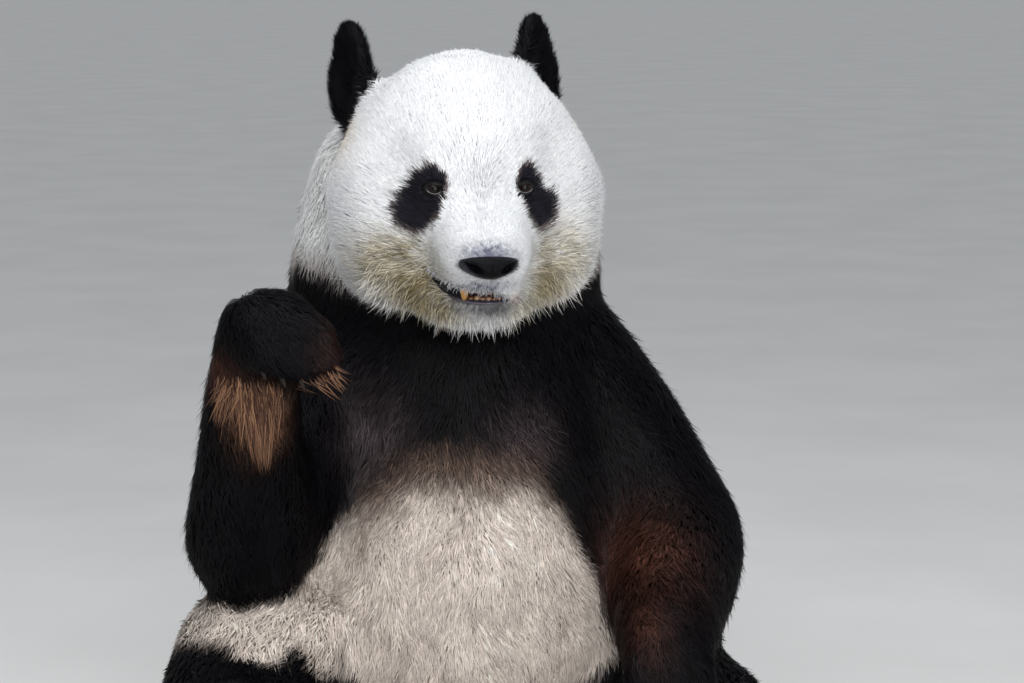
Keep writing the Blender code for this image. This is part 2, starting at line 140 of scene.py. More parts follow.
floor_finish, tree, shader, place = finish_of("floor_finish", FLOOR_TONE, 0.9, 0.2)
clouds = blend_colours(tree, grain(tree, place, FLOOR_CLOUDS), FLOOR_DARK, FLOOR_LIGHT)
tree.links.new(clouds, shader.inputs["Base Color"])
floor_corners = FLOOR_REACH * np.array([(-1, -1, 0), (1, -1, 0), (1, 1, 0), (-1, 1, 0)])
floor = piece_from(mesh_from("floor", floor_corners, np.array([[0, 1, 2, 3]])), floor_finish)

for lamp_name, (spot, side, watts) in LAMPS.items():
    lamp_data = bpy.data.lights.new(lamp_name, "AREA")
    lamp_data.energy = watts
    lamp_data.size = side
    lamp = bpy.data.objects.new(lamp_name, lamp_data)
    lamp.location = spot
    lamp.rotation_euler = (Vector(spot) - LAMP_AIM).to_track_quat("Z", "Y").to_euler()
    bpy.context.scene.collection.objects.link(lamp)
air = bpy.data.worlds.new("air")
air.use_nodes = True
air.node_tree.nodes["Background"].inputs["Color"].default_value = (*AIR_TONE, 1)
air.node_tree.nodes["Background"].inputs["Strength"].default_value = AIR_STRENGTH
bpy.context.scene.world = air
bpy.context.scene.view_settings.view_transform = "Standard"

# ---- The hide -------------------------------------------------------------------------------------
# One hide covers the animal from nose to tail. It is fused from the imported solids, which closes their
# parting cuts, relaxed until no facet is left, and drawn in by the depth of the coat.
HIDE_GRAIN = 0.0080  # grid on which the solids are fused
CLOSE_CUTS = 0.0012  # how far each solid swells first, so that the parting cuts close
FACE_ZONE = ((-0.135, -0.500, 0.585), (0.135, -0.290, 0.830))  # where the hide is twice as fine
FEATURE_ZONE = ((-0.085, -0.500, 0.618), (0.085, -0.345, 0.800))  # eyes, nose and lips, finer again
FINEST_ZONES = (  # the eyes and the mouth, finer still
    ((-0.078, -0.400, 0.751), (-0.030, -0.330, 0.790)),
    ((0.030, -0.400, 0.751), (0.078, -0.330, 0.790)),
    ((-0.070, -0.500, 0.628), (0.038, -0.370, 0.684)),
)
HOLLOWS = (  # places in the solids that are smoothed over, to be shaped anew: middle and radii
    ((-0.010, -0.430, 0.651), (0.062, 0.060, 0.019)),
    ((-0.0535, -0.3635, 0.7695), (0.022, 0.030, 0.020)),
    ((0.0535, -0.3635, 0.7695), (0.022, 0.030, 0.020)),
)
HOLLOW_ROUNDS, HOLLOW_PULL = 24, 0.8
CRISP_ROUNDS, TRUNK_ROUNDS, HEAD_ROUNDS, FACE_ROUNDS = 4, 42, 18, 6  # of smoothing, for each part
BLEND_ROUNDS, COAT_ROUNDS, NORMAL_ROUNDS, LAST_ROUNDS = 7, 16, 4, 2
CRISP_KINDS = ("forepaw", "hind_foot", "ear", "nose_pad", "eye", "lower_jaw", "tail")
HEAD_KINDS = ("head", "lower_jaw", "eye", "nose_pad")
NOSE = np.array((-0.003, -0.470, 0.688))  # where the hair of the whole head parts
MUZZLE_REACH = (0.10, 0.16)  # from the nose, over which the smoothing grows
SHORT_REACH = (0.050, 0.165)  # from the nose, over which the coat grows to its full depth
EYE_REACH, EYE_SHALLOWER = 0.024, 0.70  # round each eye, where the coat has hardly any depth
RUFF_HEIGHTS, RUFF_FROM_NOSE = (0.715, 0.655), (0.055, 0.095)  # the ruff is full past the second of each
CHEEK_HEIGHTS, CHEEK_ASIDE = (0.80, 0.74), (0.110, 0.150)

# For each kind of node: coat depth, hair length and tuft width in metres, tufts in a square metre.
DEPTH, LENGTH, WIDTH, DENSITY = range(4)
COATS = {
    "head": (0.0090, 0.023, 0.00155, 345e3),
    "lower_jaw": (0.0090, 0.024, 0.00150, 320e3),
    "nose_pad": (0.0030, 0.008, 0.00110, 420e3),
    "eye": (0.0040, 0.008, 0.00100, 420e3),
    "ear": (0.0055, 0.021, 0.00140, 300e3),
    "neck": (0.0120, 0.034, 0.00200, 165e3),
    "chest": (0.0150, 0.040, 0.00235, 108e3),
    "abdomen": (0.0120, 0.032, 0.00220, 150e3),
    "tail": (0.0120, 0.042, 0.00280, 90e3),
    "upper_arm": (0.0150, 0.044, 0.00265, 91e3),
    "forearm": (0.0140, 0.044, 0.00260, 100e3),
    "forepaw": (0.0080, 0.026, 0.00170, 200e3),
    "thigh": (0.0125, 0.031, 0.00255, 88e3),
    "shin": (0.0120, 0.036, 0.00290, 68e3),
    "hind_foot": (0.0070, 0.020, 0.00230, 108e3),
}
RUFF_GROWTH = {DEPTH: 0.25, LENGTH: 0.55, WIDTH: -0.12}  # longer and looser on the cheeks and chin
NOSE_SHARE = {DEPTH: 0.30, LENGTH: 0.25, WIDTH: 0.56, DENSITY: 2.0}  # of the head's measures, by the nose


def kinds_of(names):
    """The body part that each node is, without its side."""
    return np.array([name.removeprefix("right_").removeprefix("left_") for name in names])


def box_of(node):
    """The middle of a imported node's box, and its longest side."""
    low, high = (np.array(corner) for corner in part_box(node))
    return (low + high) / 2, (high - low).max()


def arrays_of(mesh):
    """A mesh's points and its triangles."""
    points = np.empty(3 * len(mesh.vertices))
    mesh.vertices.foreach_get("co", points)
    mesh.calc_loop_triangles()
    faces = np.empty(3 * len(mesh.loop_triangles), np.int64)
    mesh.loop_triangles.foreach_get("vertices", faces)
    return points.reshape(-1, 3), faces.reshape(-1, 3)


def moved(mesh, points):
    """Puts a mesh's points at new places."""
    mesh.vertices.foreach_set("co", points.astype(np.float32).ravel())
    mesh.update()


def tree_of(points, faces):
    """A search tree over triangles, for rays and for nearest places."""
    return BVHTree.FromPolygons(points.tolist(), faces.tolist())


def unit(vectors):
    """The vectors, each at length 1."""
    return vectors / np.maximum(np.linalg.norm(vectors, axis=-1, keepdims=True), 1e-9)


def normals_of(points, faces):
    """The outward normal at each point: the sum of the area vectors of the triangles round it."""
    a, b, c = (points[faces[:, i]] for i in range(3))
    area = np.cross(b - a, c - a)
    total = [np.bincount(faces.ravel(), np.repeat(area[:, k], 3), len(points)) for k in range(3)]
    return unit(np.stack(total, 1))


def fused(names):
    """The nodes, each swollen shut, remeshed as one closed surface."""
    lumps, corners, start = [], [], 0
    for name in names:
        merged = bmesh.new()
        merged.from_mesh(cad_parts[name].data)
        bmesh.ops.remove_doubles(merged, verts=merged.verts, dist=1e-5)
        held = bpy.data.meshes.new("lump")
        merged.to_mesh(held)
        merged.free()
        points, faces = arrays_of(held)
        bpy.data.meshes.remove(held)
        lumps.append(points + normals_of(points, faces) * CLOSE_CUTS)
        corners.append(faces + start)
        start += len(points)
    lump = piece_from(mesh_from("lump", np.concatenate(lumps), np.concatenate(corners)))
    remesh = lump.modifiers.new("fuse", "REMESH")
    remesh.mode = "VOXEL"
    remesh.voxel_size = HIDE_GRAIN
    whole = bpy.data.meshes.new_from_object(lump.evaluated_get(bpy.context.evaluated_depsgraph_get()))
    bpy.data.objects.remove(lump)
    return whole


def refined(mesh, zone):
    """Halves the edges of the faces whose middle lies in the zone's box."""
    low, high = zone
    work = bmesh.new()
    work.from_mesh(mesh)
    inside = []
    for face in work.faces:
        middle = face.calc_center_median()
        if all(low[k] < middle[k] < high[k] for k in range(3)):
            inside.append(face)
    edges = list({edge for face in inside for edge in face.edges})
    bmesh.ops.subdivide_edges(work, edges=edges, cuts=1, use_grid_fill=True)
    bmesh.ops.triangulate(work, faces=[face for face in work.faces if len(face.verts) > 4])
    work.to_mesh(mesh)
    work.free()


def edges_of(mesh):
    """A mesh's edges, as pairs of point numbers."""
    pairs = np.empty(2 * len(mesh.edges), np.int64)
    mesh.edges.foreach_get("vertices", pairs)
    return pairs.reshape(-1, 2)


def relaxed(values, pairs, rounds, pull=0.5):
    """Moves each value that share of the way to the mean of its neighbours, so many times."""
    values = np.array(values, float).reshape(len(values), -1)
    ends = np.concatenate([pairs[:, 0], pairs[:, 1]])
    others = np.concatenate([pairs[:, 1], pairs[:, 0]])
    count = np.maximum(np.bincount(ends, minlength=len(values)), 1)
    for _ in range(rounds):
        for k in range(values.shape[1]):
            mean = np.bincount(ends, values[others, k], len(values)) / count
            values[:, k] += pull * (mean - values[:, k])
    return values


def evened(points, pairs, rounds):
    """Relaxed points plus the relaxed difference, so that facets go and the girth stays."""
    soft = relaxed(points, pairs, rounds)
    return soft + relaxed(points - soft, pairs, rounds)


def smoothstep(low, high, x):
    """0 below low, 1 above high, and a smooth rise between; low may be the greater."""
    t = np.clip((x - low) / (high - low), 0, 1)
    return t * t * (3 - 2 * t)


flesh = sorted(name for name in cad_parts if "claw" not in name)
solid_points, solid_faces, solid_nodes, start = [], [], [], 0
for name in flesh:
    own_points, own_faces = arrays_of(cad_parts[name].data)
    solid_points.append(own_points)
    solid_faces.append(own_faces + start)
    solid_nodes += [name] * len(own_faces)
    start += len(own_points)
solid_nodes = np.array(solid_nodes)
solid_tree = tree_of(np.concatenate(solid_points), np.concatenate(solid_faces))


def nodes_at(points):
    """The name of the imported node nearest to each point."""
    return solid_nodes[[solid_tree.find_nearest(point)[2] for point in points.tolist()]]


hide_mesh = fused(flesh)
pairs = edges_of(hide_mesh)
points, faces = arrays_of(hide_mesh)
for middle, radii in HOLLOWS:
    near = np.sum(((points - middle) / radii) ** 2, axis=1)
    loose = (1 - smoothstep(0.8, 1.3, near))[:, None]
    for _ in range(HOLLOW_ROUNDS):
        points = points + loose * (relaxed(points, pairs, 1, HOLLOW_PULL) - points)
kinds = kinds_of(nodes_at(points))
near_muzzle = 1 - smoothstep(*MUZZLE_REACH, np.linalg.norm(points - NOSE, axis=1))
on_trunk = relaxed(np.where(np.isin(kinds, CRISP_KINDS) | (kinds == "head"), 0.0, 1.0), pairs, BLEND_ROUNDS)
on_skull = relaxed(np.where(kinds == "head", 1 - near_muzzle, 0.0), pairs, BLEND_ROUNDS)
crisp = evened(points, pairs, CRISP_ROUNDS)
to_trunk = on_trunk * (evened(points, pairs, TRUNK_ROUNDS) - crisp)
to_skull = on_skull * (evened(points, pairs, HEAD_ROUNDS) - crisp)
moved(hide_mesh, crisp + to_trunk + to_skull)
for zone in (FACE_ZONE, FEATURE_ZONE, *FINEST_ZONES):
    refined(hide_mesh, zone)
pairs = edges_of(hide_mesh)
points, faces = arrays_of(hide_mesh)
in_zone = np.all((points > FACE_ZONE[0]) & (points < FACE_ZONE[1]), axis=1)
points += in_zone[:, None] * (evened(points, pairs, FACE_ROUNDS) - points)


def ruff_at(points):
    """1 low on the cheeks, at their sides and under the chin, where the head's hair is longest, else 0."""
    from_nose = np.linalg.norm(points - NOSE, axis=1)
    low = smoothstep(*RUFF_HEIGHTS, points[:, 2]) * smoothstep(*RUFF_FROM_NOSE, from_nose)
    aside = smoothstep(*CHEEK_ASIDE, np.abs(points[:, 0])) * smoothstep(*CHEEK_HEIGHTS, points[:, 2])
    return np.maximum(low, aside)


node_names = nodes_at(points)
kinds = kinds_of(node_names)
coat = relaxed([COATS[kind] for kind in kinds], pairs, COAT_ROUNDS)
on_head = np.isin(kinds, HEAD_KINDS)
fullness = np.where(on_head, smoothstep(*SHORT_REACH, np.linalg.norm(points - NOSE, axis=1)), 1)
for measure, growth in RUFF_GROWTH.items():
    coat[:, measure] *= 1 + growth * on_head * ruff_at(points)
for measure, share in NOSE_SHARE.items():
    coat[:, measure] *= share + (1 - share) * fullness
for side in ("right", "left"):
    eye_middle, _ = box_of(f"{side}_eye")
    near_eye = np.exp(-(np.linalg.norm(points - eye_middle, axis=1) / EYE_REACH) ** 2)
    coat[:, DEPTH] *= 1 - EYE_SHALLOWER * near_eye
normals = relaxed(normals_of(points, faces), pairs, NORMAL_ROUNDS)
points = points - unit(normals) * (coat[:, DEPTH] + CLOSE_CUTS)[:, None]
points = relaxed(points, pairs, LAST_ROUNDS)

# ---- The eyes -------------------------------------------------------------------------------------
# Small round dark brown eyes with a clear bulging front, each in almond lids of bare dark skin with a
# greyer rim below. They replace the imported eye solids; the hide sinks in a socket behind them.
EYE_FACING = (0.24, -0.96, 0.06)  # the way the left eye looks
EYE_SET_BACK, EYE_SMALLER = 0.0022, 0.0004  # farther back, and smaller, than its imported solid
CORNEA_EDGE, CORNEA_BULGE = 0.66, 0.0009  # edges are angles from the eye's axis
PUPIL_EDGE, IRIS_EDGE = 0.24, 0.56
FIBRE_LEAST, FIBRE_MORE, FIBRE_SIZE = 0.75, 0.5, 0.16  # streaks in the iris
PUPIL, IRIS = (0.0015, 0.0015, 0.0015), (0.010, 0.005, 0.0035)
IRIS_RIM, EYE_WHITE = (0.003, 0.002, 0.002), (0.013, 0.009, 0.008)
LID_HALF = (0.0088, 0.0058)  # half the width and half the height of the opening
UPPER_LID, LOWER_LID, LID_SLANT = 0.84, 0.90, 0.0008  # shares of that height, and the inner corner's drop
LID_THICK = 0.0018
LID_SKIN, LID_RIM = (0.0060, 0.0050, 0.0055), (0.120, 0.110, 0.115)
LID_RINGS = (  # scale of the almond, lift over the eye or hide
    (0.88, -0.0006), (0.95, 0.0001), (1.00, 0.0006), (1.07, 0.0010), (1.17, 0.0010), (1.30, 0.0006),
    (1.40, 0.0001), (1.50, 0.0004), (1.70, 0.0002), (1.95, -0.0004), (2.15, -0.0014),
)
SOCKET_HALF, SOCKET_DEPTH, SOCKET_FLOOR = (0.0150, 0.0118), 0.0065, 0.003
SOCKET_REACH = 0.035  # only hide this near the eye is sunk
SOCKET_BARE = 0.74  # share of the socket where no hair grows
FAR = 9.0  # stands for out of reach, in shares of an oval


def noise_at(points, size, seed):
    """Smooth values from 0 to 1: hashed numbers on a lattice of that size, blended between corners."""
    cells = points / size + seed * 17.31
    base = np.floor(cells)
    t = cells - base
    t = t * t * (3 - 2 * t)
    total = 0
    for corner in np.ndindex(2, 2, 2):
        hashed = np.sin((base + corner) @ (127.1, 311.7, 74.7) + seed) * 43758.5453
        total = total + np.prod(np.where(corner, t, 1 - t), axis=1) * (hashed - np.floor(hashed))
    return total


def noise_on(rings, size, seed):
    """The same noise at each point of a grid of rings, ready to weigh a colour."""
    return noise_at(rings.reshape(-1, 3), size, seed).reshape(rings.shape[:2] + (1,))


def between(low, high, share):
    """That share of the way from one colour or place to another."""
    low, high = np.asarray(low), np.asarray(high)
    return low + share * (high - low)


def once_round(count):
    """Angles evenly spaced once round a circle."""
    return np.linspace(0, 2 * math.pi, count, endpoint=False)


def coloured(mesh, colours):
    """Stores a colour for each point of the mesh."""
    stored = np.column_stack([colours.reshape(-1, 3), np.ones(len(mesh.vertices))])
    attribute = mesh.color_attributes.new("coat", "FLOAT_COLOR", "POINT")
    attribute.data.foreach_set("color", stored.astype(np.float32).ravel())


def lofted(name, rings, colours, looped=False):
    """A closed surface through rings of points: each ring joins the next, and the ends are poles or,
    if looped, join each other. Doubled points are merged and the faces turned outwards."""
    count, around = rings.shape[:2]
    row = np.arange(count if looped else count - 1)[:, None]
    column = np.arange(around)[None, :]
    next_row, next_column = (row + 1) % count, (column + 1) % around
    quads = np.stack([
        row * around + column, row * around + next_column,
        next_row * around + next_column, next_row * around + column,
    ], -1).reshape(-1, 4)
    mesh = mesh_from(name, rings.reshape(-1, 3), quads)
    coloured(mesh, colours)
    work = bmesh.new()
    work.from_mesh(mesh)
    bmesh.ops.remove_doubles(work, verts=work.verts, dist=2e-6)
    bmesh.ops.recalc_face_normals(work, faces=work.faces)
    work.to_mesh(mesh)
    work.free()
    mesh.shade_smooth()
    return mesh


def stored_colour(tree):
    """The colour stored with a piece's points."""
    stored = tree.nodes.new("ShaderNodeAttribute")
    stored.attribute_name = "coat"
    return stored.outputs["Color"]


def raise_surface(tree, shader, height, depth, strength=0.6):
    """Bumps the shader's surface by a height, of that depth in metres."""
    bump = tree.nodes.new("ShaderNodeBump")
    bump.inputs["Strength"].default_value = strength
    bump.inputs["Distance"].default_value = depth
    tree.links.new(height, bump.inputs["Height"])
    tree.links.new(bump.outputs["Normal"], shader.inputs["Normal"])


def bare_finish(name, roughness, specular, scale=0, depth=0):
    """Bare skin, eye or horn: the colour stored with the piece, and a fine bump of that scale."""
    material, tree, shader, place = finish_of(name, (0.1, 0.1, 0.1), roughness, specular)
    tree.links.new(stored_colour(tree), shader.inputs["Base Color"])
    if depth:
        raise_surface(tree, shader, grain(tree, place, scale, 4), depth)
    return material


def cast(origins, way, tree):
    """Where rays from the origins first meet the hide, and its normal there, or 0 where they miss."""
    spots, ups = np.array(origins, float), np.zeros((len(origins), 3))
    way = Vector(way)
    for number, start in enumerate(origins):
        spot, up, _, _ = tree.ray_cast(Vector(start), way)
        if spot is not None:
            spots[number], ups[number] = spot, up
    return spots, ups


whole_tree = tree_of(points, faces)
bare = np.zeros(len(points))  # 1 where no hair grows
from_eyes = np.full(len(points), FAR)  # in shares of the socket's oval
eye_rays = np.zeros((len(points), 3))  # away from the nearer eye, along the hide
eye_frames = []
eye_finish = bare_finish("eye_finish", 0.07, 0.20)
lid_finish = bare_finish("lid_finish", 0.50, 0.25, 1400, 0.0004)
for side, sign in (("right", -1), ("left", 1)):
    eye_middle, eye_breadth = box_of(f"{side}_eye")
    facing = unit(np.array(EYE_FACING) * (sign, 1, 1))
    eye_centre, eye_radius = eye_middle - facing * EYE_SET_BACK, eye_breadth / 2
    outer = unit(np.cross((0, 0, 1), facing)) * sign
    upper = unit(np.array((0, 0, 1)) - facing * facing[2])
    eye_frames.append((eye_centre, outer, upper))

    tilt = np.linspace(0, math.pi, 49)[:, None, None]
    turn = once_round(64)[None, :, None]
    bulge = CORNEA_BULGE * np.clip(1 - (tilt / CORNEA_EDGE) ** 2, 0, 1) ** 1.5
    spokes = outer * np.cos(turn) + upper * np.sin(turn)
    shell = facing * np.cos(tilt) + spokes * np.sin(tilt)
    rings = eye_centre + (eye_radius - EYE_SMALLER + bulge) * shell
    fibres = FIBRE_LEAST + FIBRE_MORE * noise_on(np.broadcast_to(spokes, rings.shape), FIBRE_SIZE, 6)
    shade = between(PUPIL, np.array(IRIS) * fibres, smoothstep(PUPIL_EDGE - 0.03, PUPIL_EDGE + 0.03, tilt))
    shade = between(shade, IRIS_RIM, smoothstep(IRIS_EDGE - 0.12, IRIS_EDGE, tilt))
    shade = between(shade, EYE_WHITE, smoothstep(IRIS_EDGE + 0.04, IRIS_EDGE + 0.14, tilt))
    eye = piece_from(lofted(f"{side}_eyeball", rings, shade), eye_finish)
    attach(eye, "root")
    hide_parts(f"{side}_eye")

    turn = once_round(96)
    aside = LID_HALF[0] * np.cos(turn)
    up = LID_HALF[1] * np.sin(turn) * np.where(np.sin(turn) > 0, UPPER_LID, LOWER_LID)
    up = up + LID_SLANT * np.cos(turn)
    tops = []
    for scale, lift in LID_RINGS:
        flat = eye_centre + outer * (aside * scale)[:, None] + upper * (up * scale)[:, None]
        spots, _ = cast(flat + facing * 0.05, -facing, whole_tree)
        over_hide = (spots - eye_centre) @ facing
        over_ball = np.sqrt(eye_radius**2 - (np.hypot(aside, up) * min(scale, 1.0)) ** 2)
        share = smoothstep(1.0, 1.6, scale)
        tops.append(flat + facing * (over_ball * (1 - share) + over_hide * share + lift)[:, None])
    tops = np.array(tops)
    rings = np.concatenate([tops, (tops - facing * LID_THICK)[::-1]])
    scales = np.array([scale for scale, _ in LID_RINGS])
    lower_rim = smoothstep(-0.25, -0.65, np.sin(turn))[None] * smoothstep(1.14, 1.06, scales)[:, None]
    tint = between(LID_SKIN, LID_RIM, lower_rim[..., None])
    lids = piece_from(lofted(f"{side}_eyelids", rings, np.concatenate([tint, tint[::-1]]), True), lid_finish)
    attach(lids, "root")

    away = points - eye_centre
    sideways, upwards, outwards = away @ outer, away @ upper, away @ facing
    oval = np.hypot(sideways / SOCKET_HALF[0], upwards / SOCKET_HALF[1])
    oval = np.where(np.linalg.norm(away, axis=1) < SOCKET_REACH, oval, FAR)
    sunk = outwards - SOCKET_DEPTH * smoothstep(1.08, 0.72, oval)
    sunk = np.where(oval < 0.75, np.minimum(sunk, SOCKET_FLOOR), sunk)
    points = points + facing * (sunk - outwards)[:, None]
    bare = np.where(oval < SOCKET_BARE, 1.0, bare)
    closer = oval < from_eyes
    from_eyes = np.where(closer, oval, from_eyes)
    rays = unit(outer * sideways[:, None] + upper * upwards[:, None])
    eye_rays = np.where(closer[:, None], rays, eye_rays)

# ---- The nose -------------------------------------------------------------------------------------
# A broad black pad of pebbled leather, flat above and pointed below, with a comma-shaped nostril at
# each side, a furrow down the middle and a painted sheen on each wing rim. It replaces the imported nose.
NOSE_HALF, NOSE_TOP, NOSE_BOTTOM = 0.0348, 0.0130, -0.0150
NOSE_ACROSS, NOSE_UP, NOSE_FRONT = -0.0015, 0.6865, -0.4775  # the middle of the pad
NOSE_DARK, NOSE_SHEEN = (0.0026, 0.0026, 0.0034), (0.0300, 0.0300, 0.0370)
NOSE_CURVE, NOSE_LEAN_ABOVE, NOSE_LEAN_BELOW = 5.0, 0.25, 0.18  # how its face falls back from the middle
NOSE_SINK = 0.014  # how far the hide sinks behind the pad
RIM_SWELL, RIM_SINK = 1.02, 0.0008  # the rim follows the hide just outside it, a little below
NOSE_BACK, BACK_SHARE = 0.006, 0.7  # how far its back lies behind the rim, and its share of the rim
FURROW_DEPTH, FURROW_HALF = 0.0014, 0.0014
# Ovals on each half of the pad: across, up, half length, half width, slant, then height, depth or the share
# of painted sheen.
NOSE_SWELLS = ((0.0225, 0.0075, 0.0085, 0.0035, 0.1, 0.0012), (0.0220, -0.0055, 0.0085, 0.0024, 0.6, 0.0018))
NOSTRILS = ((0.0185, -0.0012, 0.0078, 0.0032, 0.5, 0.0110), (0.0272, 0.0036, 0.0055, 0.0020, 0.9, 0.0060))
# the rim of each wing below the nostrils, painted lighter: a painted sheen
NOSE_WING_SHEEN = ((0.0300, -0.0020, 0.0075, 0.0042, 0.9, 1.0), (0.0205, -0.0085, 0.0075, 0.0026, 0.5, 0.7))


def nose_outline(turn):
    """The rim of the pad: wide and nearly flat above, running to a blunt point below."""
    down = np.maximum(0, -np.sin(turn))
    across = NOSE_HALF * np.cos(turn) * (1 - 0.22 * down**1.4)
    above = NOSE_TOP * np.maximum(0, np.sin(turn)) ** 0.55
    return across, above + NOSE_BOTTOM * down**1.25


def oval_bells(across, up, ovals):
    """Adds up slanted ovals, each its height in the middle times exp of minus its reach cubed."""
    total = 0
    for middle_across, middle_up, half_long, half_wide, slant, height in ovals:
        along = (across - middle_across) * math.cos(slant) + (up - middle_up) * math.sin(slant)
        aside = (up - middle_up) * math.cos(slant) - (across - middle_across) * math.sin(slant)
        total = total + height * np.exp(-(np.hypot(along / half_long, aside / half_wide) ** 3))
    return total


def cast_from_front(across, up, tree):
    """Where rays straight back from in front of the animal meet the hide, and its normal there."""
    return cast(np.column_stack([across, np.full(len(across), -0.6), up]), (0, 1, 0), tree)


rim_across, rim_up = nose_outline(once_round(144))
rim_spots, _ = cast_from_front(
    NOSE_ACROSS + rim_across * RIM_SWELL, NOSE_UP + rim_up * RIM_SWELL, whole_tree
)
rim_deep = rim_spots[:, 1] + RIM_SINK
share = np.linspace(0, 1, 46)[:, None]
across, up = rim_across * share, rim_up * share
front = NOSE_FRONT + NOSE_CURVE * across**2
front = front + NOSE_LEAN_ABOVE * np.maximum(0, up - 0.006) + NOSE_LEAN_BELOW * np.maximum(0, -0.002 - up)
deep = rim_deep + (front - rim_deep) * (1 - share**3.4) ** 0.55
half_across = np.abs(across)
dent = FURROW_DEPTH * np.exp(-((across / FURROW_HALF) ** 2)) * smoothstep(0.006, -0.004, up)
dent = dent + oval_bells(half_across, up, NOSTRILS) - oval_bells(half_across, up, NOSE_SWELLS)
deep = deep + dent * (1 - share**8)
top_rings = np.stack([NOSE_ACROSS + across, deep, NOSE_UP + up], -1)
back_ring = np.stack([
    NOSE_ACROSS + rim_across * BACK_SHARE, rim_deep + NOSE_BACK, NOSE_UP + rim_up * BACK_SHARE,
], -1)
pole = np.broadcast_to(back_ring.mean(axis=0), back_ring.shape)
nose_rings = np.concatenate([top_rings, back_ring[None], pole[None]])
# painted sheen on the wing rims: the pad's black lightened towards a grey there
wing_sheen = oval_bells(half_across, up, NOSE_WING_SHEEN)
wing_sheen = np.concatenate([wing_sheen, np.zeros((2, len(rim_across)))])
nose_mesh = lofted("nose", nose_rings, between(NOSE_DARK, NOSE_SHEEN, wing_sheen[..., None]))
nose_finish, tree, shader, place = finish_of("nose_finish", NOSE_DARK, 0.32, 0.08)
tree.links.new(stored_colour(tree), shader.inputs["Base Color"])
pebbles = tree.nodes.new("ShaderNodeTexVoronoi")
pebbles.inputs["Scale"].default_value = 900
tree.links.new(place, pebbles.inputs["Vector"])
raise_surface(tree, shader, pebbles.outputs["Distance"], 0.0009, 0.5)
nose = piece_from(nose_mesh, nose_finish)
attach(nose, "root")
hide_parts("nose_pad")

aside, above = points[:, 0] - NOSE_ACROSS, points[:, 2] - NOSE_UP
angle, rim_angle = np.arctan2(above, aside), np.arctan2(rim_up, rim_across)
rim_reach = np.interp(angle, rim_angle, np.hypot(rim_across, rim_up), period=2 * math.pi)
rim_at = np.interp(angle, rim_angle, rim_deep, period=2 * math.pi)
under_nose = np.where(points[:, 1] < rim_at + 0.003, np.hypot(aside, above) / rim_reach, FAR)
points[:, 1] += NOSE_SINK * smoothstep(1.00, 0.86, under_nose)
bare = np.where(under_nose < 0.97, 1.0, bare)

# ---- The mouth ------------------------------------------------------------------------------------
# Dark lips, the lower one with a broad grey band, part on the animal's right. A stained canine, worn
# brown incisors and the tongue show between them, before a lining that closes the gap, painted a near-black
# red as the shade inside the mouth.
UPPER_LIP = (  # across, up
    (-0.0612, 0.6790), (-0.0560, 0.6738), (-0.0500, 0.6685), (-0.0420, 0.6630), (-0.0340, 0.6602),
    (-0.0195, 0.6575), (0.0005, 0.6551), (0.0120, 0.6520), (0.0200, 0.6478), (0.0262, 0.6436),
)
LOWER_LIP = (
    (-0.0612, 0.6790), (-0.0570, 0.6660), (-0.0510, 0.6565), (-0.0430, 0.6495), (-0.0340, 0.6452),
    (-0.0200, 0.6430), (-0.0040, 0.6422), (0.0100, 0.6422), (0.0190, 0.6426), (0.0262, 0.6436),
)
UPPER_BAND, LOWER_BAND, CORNER_BAND = 0.0016, 0.0038, 0.0022  # how far the bare lip shows
CORNER_SPREAD = 0.0024  # how far the band runs on past each corner
LIP_COLOUR, LIP_LIGHT = (0.016, 0.013, 0.016), (0.105, 0.092, 0.122)
LIP_RINGS = (  # share of the band, lift over the hide, step in towards the middle of the mouth
    (0.00, -0.0100, 0.16), (0.00, -0.0050, 0.06), (0.00, -0.0016, 0.0), (0.05, 0.0003, 0.0),
    (0.16, 0.0013, 0.0), (0.35, 0.0018, 0.0), (0.60, 0.0015, 0.0), (0.82, 0.0008, 0.0),
    (1.00, 0.0001, 0.0), (1.15, -0.0012, 0.0),
)
LIP_EDGE_RING = 2  # the ring of the lips that the lining starts from
LIP_THICK, LINING_THICK = 0.0030, 0.0022
MOUTH_UP = 0.6500
CAVE_RINGS = ((0.96, 0.008), (0.90, 0.014), (0.78, 0.019), (0.55, 0.022), (0.28, 0.023), (0.0, 0.0235))
# near-black red: painted shade inside the mouth, for the lining
CAVE_SHADE_RED = (0.020, 0.008, 0.008)
MOUTH_SINK = 0.034  # how far the hide draws back inside the mouth
CANINE_HEIGHT = 0.010  # a tooth longer than this is a canine: pointed, and set forward
TEETH = (  # across, height (below 0 hangs from above), half width, half depth, lean, colour
    (-0.0262, -0.0180, 0.0056, 0.0048, 0.02, (0.48, 0.240, 0.055)),
    (-0.0176, -0.0080, 0.0037, 0.0024, 0.00, (0.100, 0.036, 0.014)),
    (-0.0108, -0.0074, 0.0036, 0.0022, 0.00, (0.140, 0.048, 0.016)),
    (-0.0042, -0.0076, 0.0036, 0.0022, 0.00, (0.090, 0.030, 0.012)),
    (0.0024, -0.0070, 0.0036, 0.0022, 0.00, (0.130, 0.045, 0.016)),
    (0.0090, -0.0072, 0.0035, 0.0022, 0.00, (0.100, 0.035, 0.013)),
    (-0.0184, 0.0060, 0.0037, 0.0024, 0.10, (0.22, 0.100, 0.034)),
    (-0.0117, 0.0078, 0.0038, 0.0024, 0.04, (0.38, 0.220, 0.110)),
    (-0.0050, 0.0066, 0.0037, 0.0024, -0.03, (0.26, 0.130, 0.070)),
    (0.0016, 0.0072, 0.0037, 0.0024, 0.05, (0.31, 0.165, 0.095)),
    (0.0081, 0.0058, 0.0036, 0.0024, -0.02, (0.20, 0.085, 0.040)),
    (0.0144, 0.0064, 0.0034, 0.0024, 0.06, (0.24, 0.095, 0.032)),
)
TONGUE_MIDDLE, TONGUE_HALF, TONGUE_GROOVE = (-0.004, 0.0185, 0.6445), (0.0235, 0.0105, 0.0050), 0.0012
TONGUE_RED = (0.150, 0.045, 0.034)


